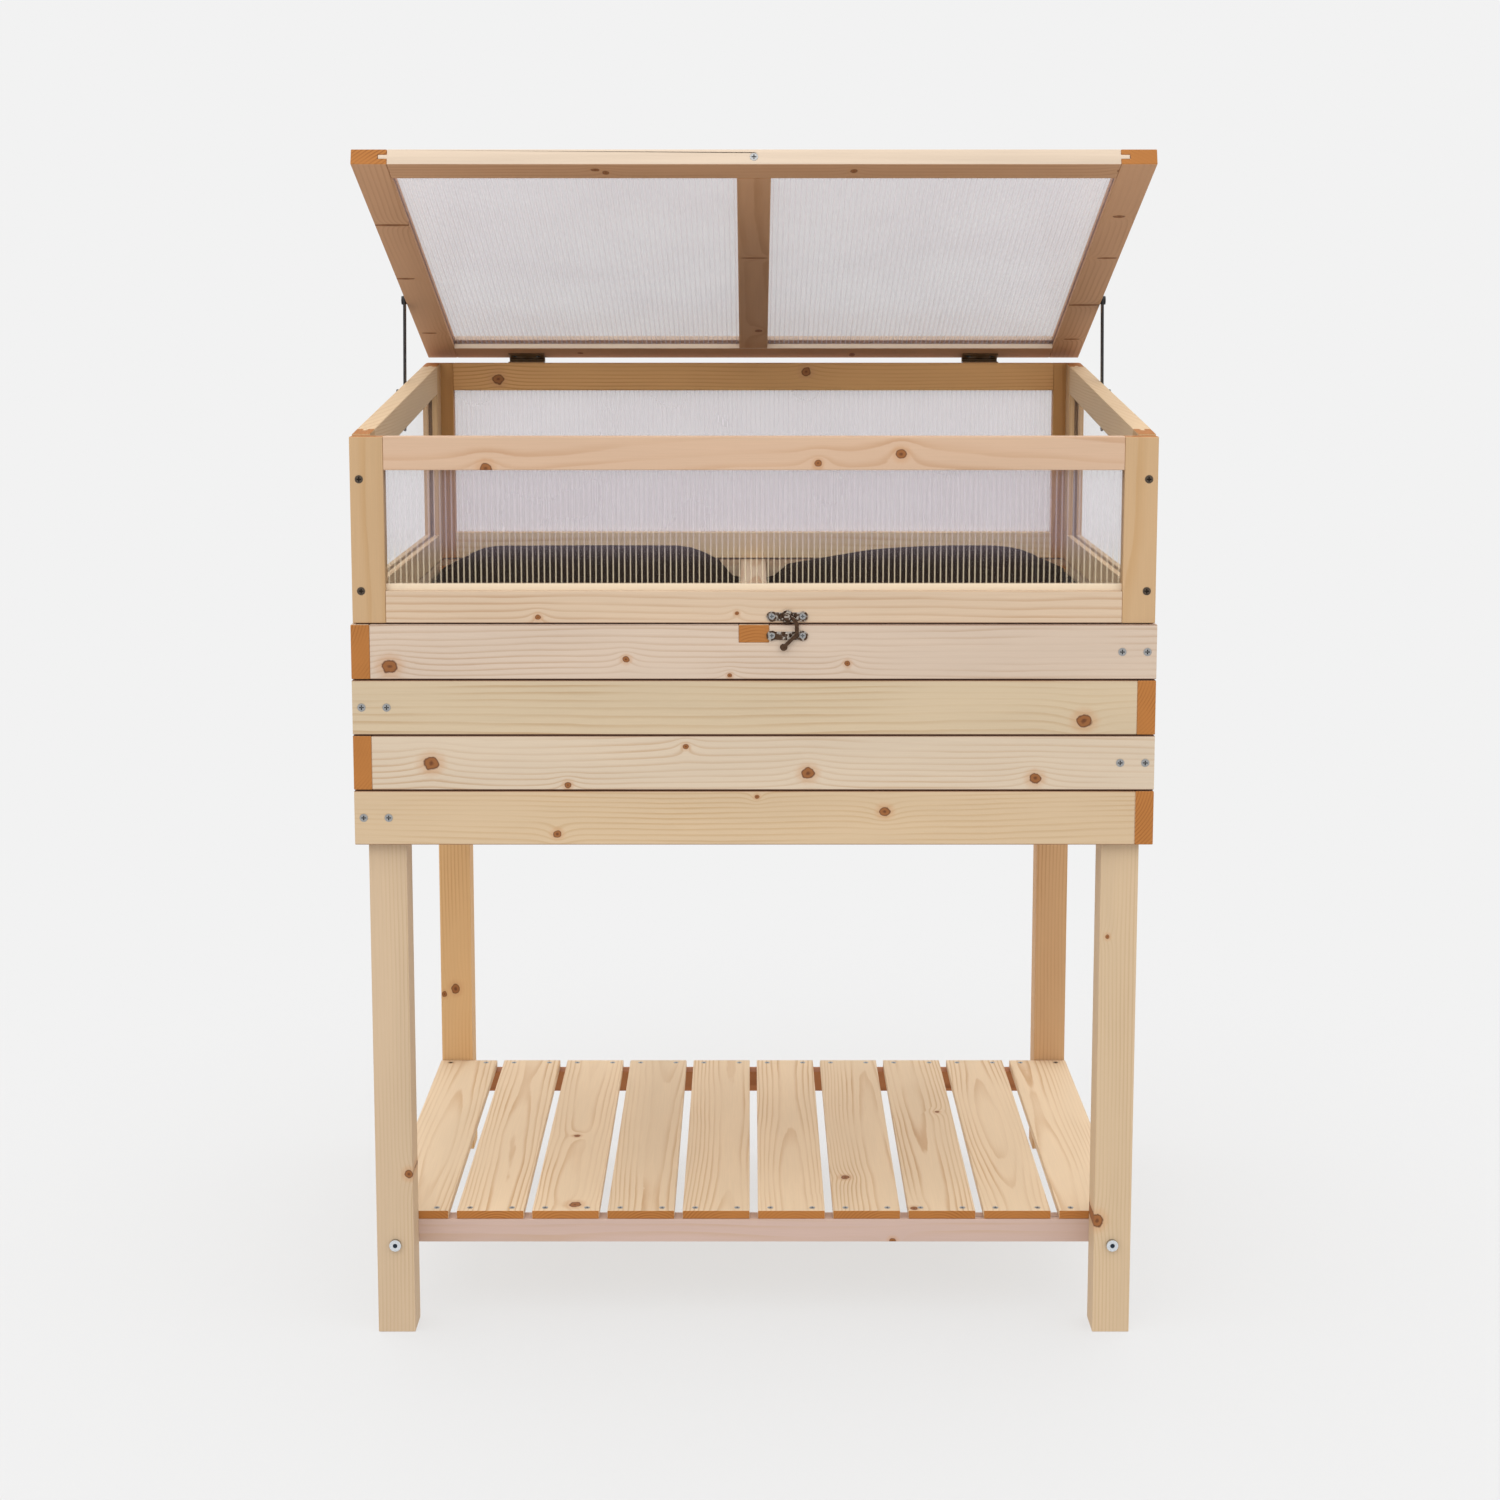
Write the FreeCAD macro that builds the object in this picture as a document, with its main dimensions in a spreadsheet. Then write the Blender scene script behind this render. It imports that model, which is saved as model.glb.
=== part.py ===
import FreeCAD, Part
import os
import re
import Sketcher

# A raised planter table with a cold frame on top, millimetres, +Z up, front towards -Y.
# The origin is on the floor under the middle of the object.

SIZES = {
    # planter box: four courses of boards that lap alternately at the corners
    "planter_width": 800, "planter_depth": 600, "planter_base": 518,
    "board_thick": 18.5, "board_pitch": 56, "board_gap": 1.2,
    # legs: square, rebated where the boards stand on them
    "leg_size": 38, "leg_inset": 12, "leg_drop": 8,
    # brace let into the top edges of the front and rear boards
    "brace_width": 30, "brace_height": 18,
    # planter floor
    "bearer_wide": 20, "bearer_high": 28, "floor_thick": 9, "floor_width": 70, "floor_space": 7.5,
    # liner
    "liner_thick": 1.2, "liner_gap": 2.2, "liner_bed": 0.4, "liner_drop": 6, "liner_rise": 19,
    "wave_start": 20, "wave_crest": 60,
    # shelf
    "shelf_top": 115.5, "slat_thick": 9, "slat_width": 70, "slat_space": 8.7, "slat_end": 1,
    "slat_screw_in": 13,
    "shelf_rail_wide": 20, "shelf_rail_high": 24.5,
    # upper frame
    "frame_inset": 2, "frame_gap": 1.2, "frame_front": 185, "frame_rise": 55,
    "frame_screw_low": 32, "frame_screw_high": 42,
    "panel_thick": 18, "stile_width": 33, "top_rail": 33, "bottom_rail": 32,
    # glazing and the grooves that hold it
    "glazing_thick": 4, "groove_play": 0.5, "groove_deep": 9, "glazing_bite": 8,
    "tongue_short": 0.5, "lid_tongue_short": 0.3,
    # lid
    "lid_width": 794, "lid_length": 597, "lid_thick": 16, "lid_side": 35.6, "lid_front": 36,
    "lid_back": 36, "lid_middle": 34, "lid_angle": 20.2, "lid_lift": 2,
    # hinges
    "hinge_place": 276, "hinge_wide": 43, "leaf_thick": 1.5, "leaf_long": 20, "barrel_radius": 3,
    "barrel_relief": 0.4,
    "pin_radius": 1.25, "pin_play": 0.05, "knuckle_play": 0.3,
    "rear_hinge_place": 240, "rear_hinge_wide": 60,
    # stays
    "stay_reach": 192, "stay_offset": 8, "peg_fall": 10.6, "stay_wide": 12, "stay_thick": 2,
    "stay_gap": 1, "stay_long": 150, "stay_start": 16, "peg_radius": 2, "peg_play": 0.5,
    "stay_knob": 8, "stay_knob_thick": 8, "side_play": 0.3, "pivot_play": 0.06,
    "peg_hold": 12, "peg_rim": 3, "pivot_hold": 14, "pivot_rim": 2.5, "pivot_head": 2,
    # latch
    "latch_place": 33, "latch_above": 7, "latch_span": 15.3, "latch_ear": 5.3, "latch_pitch": 19,
    "latch_thick": 1.5, "arm_thick": 2, "arm_wide": 4, "arm_bend": 9.5, "arm_down": 7.5,
    "arm_tail": 18.4, "arm_end": 3.8, "arm_stand": 3.3,
    "dome_rim": 1.5, "rivet_rim": 1.2, "eye_rim": 0.4, "catch_radius": 2.5,
    # fasteners
    "screw_head": 4, "screw_shank": 2, "screw_long": 38, "screw_sink": 2.4,
    "small_head": 3.1, "small_shank": 1.5, "small_long": 14, "small_sink": 1.6,
    "bolt_head": 6, "bolt_head_high": 3.5, "bolt_shank": 3, "bolt_long": 52,
}
COURSES = 4
SLATS = 10
FLOOR_SLATS = 9

# Places worked out from the sizes, as expressions in the sheet's own names.
PLANTER_X = "planter_width / 2"
PLANTER_Y = "planter_depth / 2"
INNER_X = "(planter_width / 2 - board_thick)"
INNER_Y = "(planter_depth / 2 - board_thick)"
LEG_X = "(planter_width / 2 - leg_inset)"
LEG_Y = "(planter_depth / 2 - leg_inset)"
PLANTER_TOP = f"(planter_base + {COURSES} * board_pitch - board_gap)"
SLAT_BOTTOM = "(shelf_top - slat_thick)"
FRAME_X = "(planter_width / 2 - frame_inset)"
FRAME_Y = "(planter_depth / 2 - frame_inset)"
FRAME_BOTTOM = f"({PLANTER_TOP} + frame_gap)"
FRAME_FRONT_TOP = f"({FRAME_BOTTOM} + frame_front)"
FRAME_DEEP = f"(2 * {FRAME_Y})"
REAR_TOP = f"({FRAME_FRONT_TOP} + frame_rise * (1 - panel_thick / {FRAME_DEEP}))"
PANEL_IN_X = f"({FRAME_X} - panel_thick)"
PANEL_IN_Y = f"({FRAME_Y} - panel_thick)"
GROOVE = "(glazing_thick + groove_play)"
LID_AXIS_Y = f"({FRAME_Y} + barrel_radius - 0.2)"
LID_AXIS_Z = f"({REAR_TOP} + barrel_radius)"
REAR_AXIS_Y = f"({PLANTER_Y} + barrel_radius + knuckle_play)"
REAR_AXIS_Z = f"({PLANTER_TOP} + frame_gap / 2)"
LID_X = "lid_width / 2"
LID_END = f"(lid_length + {LID_AXIS_Y} - {FRAME_Y})"
LID_BACK = f"({LID_AXIS_Y} - {FRAME_Y})"
STAY_RADIUS = "sqrt(stay_reach ^ 2 + stay_offset ^ 2)"
STAY_RISE = "(lid_angle + atan(stay_offset / stay_reach) / 1 deg)"
STAY_LEAN = f"(({STAY_RISE} - peg_fall) / 2)"
STAY_X = f"({FRAME_X} + stay_gap)"
LATCH_Z = f"({FRAME_BOTTOM} + latch_above)"
ARM_Y = f"({FRAME_Y} + latch_thick + arm_stand)"

doc = FreeCAD.newDocument("cold_frame")
sheet = doc.addObject("Spreadsheet::Sheet", "dims")
for line, (alias, size) in enumerate(SIZES.items(), 1):
    sheet.set(f"A{line}", alias)
    sheet.set(f"B{line}", str(size))
    sheet.setAlias(f"B{line}", alias)
doc.recompute()
NODES = []


def spelled(text):
    """An expression with the sheet's name put before each of its aliases."""
    return re.sub(r"[a-z]\w*", lambda w: f"dims.{w.group()}" if w.group() in SIZES else w.group(), text)


def bind(thing, **values):
    for name, text in values.items():
        thing.setExpression(name.replace("__", "."), spelled(text))


def number(text):
    """The present value of an expression."""
    return float(sheet.evalExpression(spelled(text)))


def add(kind, name):
    """A document object with a name and a label of its own."""
    thing = doc.addObject(kind, name)
    thing.Label = name
    return thing


def block(name, x, y, z):
    """A box from its low and high places along X, Y and Z."""
    box = add("Part::Box", name)
    for size, letter, (low, high) in (("Length", "x", x), ("Width", "y", y), ("Height", "z", z)):
        bind(box, **{size: f"({high}) - ({low})", f"Placement__Base__{letter}": low})
    return box


def rod(name, radius, along, start, length):
    """A cylinder along X, Y or Z that starts at a point given as three expressions."""
    cylinder = add("Part::Cylinder", name)
    turn = {"x": (0, 1, 0, 90), "y": (-1, 0, 0, 90), "z": (0, 0, 1, 0)}[along]
    cylinder.Placement.Rotation = FreeCAD.Rotation(FreeCAD.Vector(*turn[:3]), turn[3])
    bind(cylinder, Radius=radius, Height=length)
    for letter, place in zip("xyz", start):
        bind(cylinder, **{f"Placement__Base__{letter}": place})
    return cylinder


def fuse(name, pieces):
    joined = add("Part::MultiFuse", name)
    joined.Shapes = pieces
    joined.Refine = True
    return joined


def cut(name, base, tools):
    """Base less one or more tools."""
    result = add("Part::Cut", name)
    result.Base = base
    result.Tool = tools[0] if len(tools) == 1 else fuse(f"{name}_tools", tools)
    return result


def group(name, pieces):
    """Several separate solids in one object."""
    together = add("Part::Compound", name)
    together.Links = pieces
    return together


def node(piece):
    NODES.append(piece)
    return piece


def outline_body(name, plane, points, low, high):
    """A body padded between two heights from an outline of straight edges in one of its origin planes."""
    body = add("PartDesign::Body", name)
    sketch = body.newObject("Sketcher::SketchObject", f"{name}_outline")
    base = next(f for f in body.Origin.OriginFeatures if f.Role == plane)
    sketch.AttachmentSupport = [(base, "")]
    sketch.MapMode = "FlatFace"
    bind(sketch, AttachmentOffset__Base__z=low)
    corners = [FreeCAD.Vector(number(u), number(v), 0) for u, v in points]
    count = len(corners)
    for i in range(count):
        sketch.addGeometry(Part.LineSegment(corners[i], corners[(i + 1) % count]), False)
    for i in range(count):
        sketch.addConstraint(Sketcher.Constraint("Coincident", i, 2, (i + 1) % count, 1))
    for i, (u, v) in enumerate(points):
        for kind, place, start in (("DistanceX", u, corners[i].x), ("DistanceY", v, corners[i].y)):
            index = sketch.addConstraint(Sketcher.Constraint(kind, -1, 1, i, 1, start))
            sketch.setExpression(f"Constraints[{index}]", spelled(place))
    pad = body.newObject("PartDesign::Pad", f"{name}_pad")
    pad.Profile = sketch
    bind(pad, Length=f"({high}) - ({low})")
    return body


# Fasteners ------------------------------------------------------------------------------------

def screw(name, kind):
    """A countersunk screw with and without its cross recess, its head's top at the origin, pointing down."""
    head = add("Part::Cone", f"{name}_head")
    bind(head, Radius1=f"{kind}_shank", Radius2=f"{kind}_head", Height=f"{kind}_sink",
         Placement__Base__z=f"-{kind}_sink")
    shank = rod(f"{name}_shank", f"{kind}_shank", "z", ("0", "0", f"-{kind}_long"),
                f"{kind}_long - {kind}_sink / 2")
    slots = []
    for turn, (wide, deep) in (("a", (0.6, 0.14)), ("b", (0.14, 0.6))):
        half_x, half_y = f"{kind}_head * {wide}", f"{kind}_head * {deep}"
        slots.append(block(f"{name}_slot_{turn}", (f"-{half_x}", half_x), (f"-{half_y}", half_y),
                           (f"-{kind}_sink / 2", "1")))
    whole = fuse(f"{name}_whole", [head, shank])
    return cut(name, whole, slots), whole


DIRECTIONS = {"front": (1, 0, 0, 90), "rear": (-1, 0, 0, 90), "left": (0, -1, 0, 90),
              "right": (0, 1, 0, 90), "up": (0, 0, 1, 0), "down": (1, 0, 0, 180)}


def copies(name, sample, places):
    """One fastener repeated in a single object, each copy at a point and with its head facing a direction."""
    shapes = []
    for point, facing in places:
        x, y, z, angle = DIRECTIONS[facing]
        shape = sample.Shape.copy()
        shape.Placement = FreeCAD.Placement(
            FreeCAD.Vector(*[number(str(p)) for p in point]), FreeCAD.Rotation(FreeCAD.Vector(x, y, z), angle))
        shapes.append(shape)
    together = add("Part::Feature", name)
    together.Shape = Part.makeCompound(shapes)
    return together


def fasteners(name, samples, places):
    """A set of fasteners and the holes that they fill."""
    return copies(name, samples[0], places), copies(f"{name}_holes", samples[1], places)


wood_screw = screw("wood_screw", "screw")
small_screw = screw("small_screw", "small")
bolt_cap = rod("shelf_bolt_head", "bolt_head", "z", ("0", "0", "0"), "bolt_head_high")
bolt_stem = rod("shelf_bolt_stem", "bolt_shank", "z", ("0", "0", "-bolt_long"), "bolt_long")
shelf_bolt = (fuse("shelf_bolt", [bolt_cap, bolt_stem]),) * 2
doc.recompute()


def course_middle(course):
    """Height of the middle of a course of boards, the top course being 1."""
    return f"({PLANTER_TOP} - {course - 1} * board_pitch - (board_pitch - board_gap) / 2)"


def board_screw_places():
    """Two screws at the lapping end of every board: one into the next board's end, one into the leg."""
    places = []
    for course in range(1, COURSES + 1):
        hand = 1 if course % 2 else -1
        height = course_middle(course)
        for reach in ("board_thick / 2", "(board_thick + leg_inset + leg_size) / 2"):
            places.append(((f"{hand} * ({PLANTER_X} - {reach})", f"-{PLANTER_Y}", height), "front"))
            places.append(((f"{-hand} * ({PLANTER_X} - {reach})", PLANTER_Y, height), "rear"))
            places.append(((PLANTER_X, f"{hand} * ({PLANTER_Y} - {reach})", height), "right"))
            places.append(((f"-{PLANTER_X}", f"{-hand} * ({PLANTER_Y} - {reach})", height), "left"))
    return places


board_screws, board_holes = fasteners("board_screws", wood_screw, board_screw_places())
node(board_screws)


latch_screws_above = [((f"latch_place + {side} * latch_span", f"-{FRAME_Y} - latch_thick", LATCH_Z), "front")
                      for side in (-1, 1)]
latch_screws_below = [((f"latch_place + {side} * latch_span", f"-{PLANTER_Y} - latch_thick",
                        f"{LATCH_Z} - latch_pitch"), "front") for side in (-1, 1)]


def hinge_screw_places(where):
    """Two screws in each leaf of a pair of hinges."""
    middle = "(barrel_radius + leaf_long) / 2 + 1"
    if where == "lid_lower":
        place, wide, y, z, facing = "hinge_place", "hinge_wide", f"{LID_AXIS_Y} - ({middle})", \
            f"{REAR_TOP} + leaf_thick", "up"
    elif where == "rear_fixed":
        place, wide, y, z, facing = "rear_hinge_place", "rear_hinge_wide", f"{PLANTER_Y} + leaf_thick", \
            f"{REAR_AXIS_Z} - ({middle})", "rear"
    else:
        place, wide, y, z, facing = "rear_hinge_place", "rear_hinge_wide", f"{FRAME_Y} + leaf_thick", \
            f"{REAR_AXIS_Z} + ({middle})", "rear"
    return [((f"{side} * {place} + {end} * {wide} / 3", y, z), facing) for side in (-1, 1) for end in (-1, 1)]


frame_fitting_screws, frame_fitting_holes = fasteners(
    "frame_fitting_screws", small_screw,
    latch_screws_above + hinge_screw_places("lid_lower") + hinge_screw_places("rear_moving"))
planter_fitting_screws, planter_fitting_holes = fasteners(
    "planter_fitting_screws", small_screw, latch_screws_below + hinge_screw_places("rear_fixed"))
node(frame_fitting_screws)
node(planter_fitting_screws)


# Planter --------------------------------------------------------------------------------------

def leg(name, side_x, side_y):
    """A leg whose upper part is rebated on its two outer faces, so that the boards stand on it."""
    top = f"{PLANTER_TOP} - leg_drop"
    spans = []
    for outer, inner, side in ((LEG_X, INNER_X, side_x), (LEG_Y, INNER_Y, side_y)):
        root = f"({outer} - leg_size)"
        low, high = ((root, outer), (root, inner)), ((f"-{outer}", f"-{root}"), (f"-{inner}", f"-{root}"))
        spans.append(low if side > 0 else high)
    foot = block(f"{name}_foot", spans[0][0], spans[1][0], ("0", "planter_base"))
    post = block(f"{name}_post", spans[0][1], spans[1][1], ("planter_base", top))
    return fuse(f"{name}_stock", [foot, post])


def shelf_bolt_places():
    height = f"{SLAT_BOTTOM} - shelf_rail_high / 2"
    return [((f"{sx} * ({LEG_X} - leg_size / 2)", f"{sy} * {LEG_Y}", height), "rear" if sy > 0 else "front")
            for sx in (-1, 1) for sy in (-1, 1)]


shelf_bolts, bolt_holes = fasteners("shelf_bolts", shelf_bolt, shelf_bolt_places())
node(shelf_bolts)
for side_x, word_x in ((-1, "left"), (1, "right")):
    for side_y, word_y in ((-1, "front"), (1, "rear")):
        name = f"leg_{word_y}_{word_x}"
        node(cut(name, leg(name, side_x, side_y), [board_holes, bolt_holes]))

brace_notch = block("brace_notch", ("-brace_width / 2", "brace_width / 2"), (f"-{PLANTER_Y}", PLANTER_Y),
                    (f"{PLANTER_TOP} - brace_height", f"{PLANTER_TOP} + 1"))
node(block("cross_brace", ("-brace_width / 2", "brace_width / 2"), (f"-{PLANTER_Y}", PLANTER_Y),
           (f"{PLANTER_TOP} - brace_height", PLANTER_TOP)))


def board(wall, course):
    """One board of a wall. Each board laps the next wall's board, turning the other way in every course."""
    hand = 1 if course % 2 else -1
    top = f"({PLANTER_TOP} - {course - 1} * board_pitch)"
    heights = (f"{top} - board_pitch + board_gap", top)
    turn = {"front": hand, "rear": -hand, "right": hand, "left": -hand}[wall]
    outer, inner = (PLANTER_X, INNER_X) if wall in ("front", "rear") else (PLANTER_Y, INNER_Y)
    length = (f"-{inner}", outer) if turn > 0 else (f"-{outer}", inner)
    face = {"front": (f"-{PLANTER_Y}", f"-{INNER_Y}"), "rear": (INNER_Y, PLANTER_Y),
            "left": (f"-{PLANTER_X}", f"-{INNER_X}"), "right": (INNER_X, PLANTER_X)}[wall]
    spans = (length, face) if wall in ("front", "rear") else (face, length)
    name = f"{wall}_board_{course}"
    stock = block(f"{name}_stock", spans[0], spans[1], heights)
    tools = [board_holes]
    if course == 1 and wall in ("front", "rear"):
        tools += [brace_notch, planter_fitting_holes]
    return cut(name, stock, tools)


for course in range(1, COURSES + 1):
    node(board("front", course))
for wall in ("rear", "left", "right"):
    node(group(f"{wall}_boards", [board(wall, course) for course in range(1, COURSES + 1)]))


def floor_of_planter():
    """Two bearers between the legs and the slats that lie across them."""
    between = f"({LEG_X} - leg_size)"
    bearers, slats = [], []
    for side, word in ((-1, "front"), (1, "rear")):
        edges = (INNER_Y, f"({INNER_Y} - bearer_wide)")
        span = (edges[1], edges[0]) if side > 0 else (f"-{edges[0]}", f"-{edges[1]}")
        bearers.append(block(f"floor_bearer_{word}", (f"-{between}", between), span,
                             ("planter_base", "planter_base + bearer_high")))
    step = "(floor_width + floor_space)"
    for i in range(FLOOR_SLATS):
        middle = f"({i - (FLOOR_SLATS - 1) / 2} * {step})"
        slats.append(block(f"floor_slat_{i + 1}", (f"{middle} - floor_width / 2", f"{middle} + floor_width / 2"),
                           (f"-{INNER_Y} + 1", f"{INNER_Y} - 1"),
                           ("planter_base + bearer_high", "planter_base + bearer_high + floor_thick")))
    node(group("floor_bearers", bearers))
    node(group("floor_slats", slats))


def liner():
    """A fabric tray with the legs' corners left out, whose rear edge stands up in two low waves."""
    bottom = "(planter_base + bearer_high + floor_thick + liner_bed)"
    top = f"({PLANTER_TOP} - liner_drop)"
    solids = []
    for shell, inset, low in (("outer", "liner_gap", bottom), ("inner", "(liner_gap + liner_thick)",
                                                                f"{bottom} + liner_thick")):
        far_x, far_y = f"({INNER_X} - {inset})", f"({INNER_Y} - {inset})"
        near_x, near_y = f"({LEG_X} - leg_size - {inset})", f"({LEG_Y} - leg_size - {inset})"
        corners = [(near_x, far_y), (near_x, near_y), (far_x, near_y)]
        points = []
        for sx, sy in ((1, 1), (1, -1), (-1, -1), (-1, 1)):
            ring = corners if sx * sy > 0 else corners[::-1]
            points += [(f"{sx} * {u}", f"{sy} * {v}") for u, v in ring]
        high = top if shell == "outer" else f"{top} + 1"
        solids.append(outline_body(f"liner_{shell}", "XY_Plane", points, low, high))
    tray = cut("liner_tray", solids[0], [solids[1]])
    depth = (f"{INNER_Y} - liner_gap - liner_thick", f"{INNER_Y} - liner_gap")
    waves = []
    for side, word in ((-1, "left"), (1, "right")):
        ends = ("brace_width / 2 + wave_start", f"{LEG_X} - leg_size - wave_start")
        span = ends if side > 0 else (f"-({ends[1]})", f"-({ends[0]})")
        middle = f"(({span[0]}) + ({span[1]})) / 2"
        points = [(f"-({span[0]})", f"{top} - 2"), (f"-({span[1]})", f"{top} - 2"),
                  (f"-({middle}) - wave_crest", f"{top} + liner_rise"),
                  (f"-({middle}) + wave_crest", f"{top} + liner_rise")]
        wave = outline_body(f"liner_wave_{word}", "XZ_Plane", [(f"-({u})", v) for u, v in points],
                            f"-({depth[1]})", f"-({depth[0]})")
        waves.append(wave)
    slit = block("liner_slit", ("-brace_width / 2 - 1", "brace_width / 2 + 1"), (f"-{PLANTER_Y}", PLANTER_Y),
                 (f"{PLANTER_TOP} - brace_height - 1", f"{PLANTER_TOP} + 1"))
    node(cut("liner", fuse("liner_sheet", [tray] + waves), [slit]))


floor_of_planter()
liner()


# Shelf ----------------------------------------------------------------------------------------

def shelf():
    """Ten slats screwed down on two rails that are bolted to the legs."""
    step = "(slat_width + slat_space)"
    reach = f"({LEG_Y} - leg_size)"
    places = []
    for i in range(SLATS):
        middle = f"({i - (SLATS - 1) / 2} * {step})"
        for side_x in (-1, 1):
            for side_y in (-1, 1):
                places.append(((f"{middle} + {side_x} * (slat_width / 2 - slat_screw_in)",
                                f"{side_y} * ({reach} - shelf_rail_wide / 2)", "shelf_top"), "up"))
    screws, holes = fasteners("shelf_screws", small_screw, places)
    node(screws)
    slats = []
    for i in range(SLATS):
        middle = f"({i - (SLATS - 1) / 2} * {step})"
        stock = block(f"shelf_slat_{i + 1}_stock",
                      (f"{middle} - slat_width / 2", f"{middle} + slat_width / 2"),
                      (f"-{reach} + slat_end", f"{reach} - slat_end"), (SLAT_BOTTOM, "shelf_top"))
        slats.append(cut(f"shelf_slat_{i + 1}", stock, [holes]))
    node(group("shelf_slats", slats))
    for side, word in ((-1, "front"), (1, "rear")):
        span = (f"{reach} - shelf_rail_wide", reach) if side > 0 else (f"-{reach}", f"-{reach} + shelf_rail_wide")
        stock = block(f"shelf_rail_{word}_stock", (f"-{LEG_X}", LEG_X), span,
                      (f"{SLAT_BOTTOM} - shelf_rail_high", SLAT_BOTTOM))
        node(cut(f"shelf_rail_{word}", stock, [holes, bolt_holes]))


shelf()


# Upper frame ----------------------------------------------------------------------------------

def frame_screw_places():
    """Screws through the stiles of the front and rear panels into the side panels."""
    places = []
    for side in (-1, 1):
        for height in (f"{FRAME_BOTTOM} + frame_screw_low", f"{FRAME_FRONT_TOP} - frame_screw_high"):
            x = f"{side} * ({FRAME_X} - panel_thick / 2)"
            places.append(((x, f"-{FRAME_Y}", height), "front"))
            places.append(((x, FRAME_Y, height), "rear"))
    return places


STAY_PEG = (STAY_X, f"{LID_AXIS_Y} - {STAY_RADIUS} * cos(peg_fall)",
            f"{LID_AXIS_Z} - {STAY_RADIUS} * sin(peg_fall)")
frame_screws, frame_holes = fasteners("frame_screws", wood_screw, frame_screw_places())
node(frame_screws)


def stay_knob(side, word):
    """A peg screwed into the side of the frame, with a washer and the knob that clamps the stay."""
    reach = f"({FRAME_X} + stay_gap + stay_thick + side_play)"
    _, y, z = STAY_PEG
    pieces = []
    for part, radius, start, length in (
            ("peg", "peg_radius", f"{FRAME_X} - peg_hold",
             f"{reach} - {FRAME_X} + peg_hold + 1"),
            ("washer", "peg_radius + peg_rim", FRAME_X, "stay_gap - side_play"),
            ("grip", "stay_knob", reach, "stay_knob_thick")):
        first = start if side > 0 else f"-({start}) - ({length})"
        pieces.append(rod(f"stay_knob_{word}_{part}", radius, "x", (first, y, z), length))
    return fuse(f"stay_knob_{word}", pieces)


stay_knobs = node(group("stay_knobs", [stay_knob(-1, "left"), stay_knob(1, "right")]))


def upright_panel(word, side, top):
    """Front or rear panel: two stiles, two rails tongued into them and a pane held in their grooves."""
    face = (f"-{FRAME_Y}", f"-{PANEL_IN_Y}") if side < 0 else (PANEL_IN_Y, FRAME_Y)
    middle = f"({side} * ({FRAME_Y} - panel_thick / 2))"
    slot = (f"{middle} - {GROOVE} / 2", f"{middle} + {GROOVE} / 2")
    inner = f"({FRAME_X} - stile_width)"
    fasten = [frame_holes, frame_fitting_holes]
    for hand, end in ((-1, "left"), (1, "right")):
        span = (f"-{FRAME_X}", f"-{inner}") if hand < 0 else (inner, FRAME_X)
        groove = (f"-{inner} - groove_deep", f"-{inner}") if hand < 0 else (inner, f"{inner} + groove_deep")
        name = f"{word}_stile_{end}"
        stock = block(f"{name}_stock", span, face, (FRAME_BOTTOM, top))
        channel = block(f"{name}_groove", groove, slot, (FRAME_BOTTOM, top))
        node(cut(name, stock, [channel] + fasten))
    for rail, low, high in (("bottom_rail", FRAME_BOTTOM, f"{FRAME_BOTTOM} + bottom_rail"),
                            ("top_rail", f"{top} - top_rail", top)):
        name = f"{word}_{rail}"
        bar = block(f"{name}_bar", (f"-{inner}", inner), face, (low, high))
        tongue = block(f"{name}_tongue", (f"-{inner} - groove_deep + tongue_short", f"{inner} + groove_deep - tongue_short"),
                       (f"{middle} - {GROOVE} / 2", f"{middle} + {GROOVE} / 2"), (low, high))
        edge = (f"{high} - groove_deep", high) if rail == "bottom_rail" else (low, f"{low} + groove_deep")
        channel = block(f"{name}_groove", (f"-{inner} - groove_deep", f"{inner} + groove_deep"), slot, edge)
        node(cut(name, fuse(f"{name}_stock", [bar, tongue]), [channel] + fasten))
    node(block(f"{word}_glazing", (f"-{inner} - glazing_bite", f"{inner} + glazing_bite"),
               (f"{middle} - glazing_thick / 2", f"{middle} + glazing_thick / 2"),
               (f"{FRAME_BOTTOM} + bottom_rail - glazing_bite", f"{top} - top_rail + glazing_bite")))


def slope(y):
    """Height of the frame's sloping top edge above a place along Y."""
    return f"({FRAME_FRONT_TOP} + frame_rise * (({y}) + {FRAME_Y}) / {FRAME_DEEP})"


def side_piece(name, side, ys, bottoms, tops, inset="0", thick="panel_thick"):
    """A flat piece of a side panel: an outline in the YZ plane from two lower and two upper heights."""
    points = [(ys[0], bottoms[0]), (ys[1], bottoms[1]), (ys[1], tops[1]), (ys[0], tops[0])]
    near = f"({FRAME_X} - {inset} - {thick})"
    far = f"({FRAME_X} - {inset})"
    span = (near, far) if side > 0 else (f"-{far}", f"-{near}")
    return outline_body(name, "YZ_Plane", points, span[0], span[1])


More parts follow.
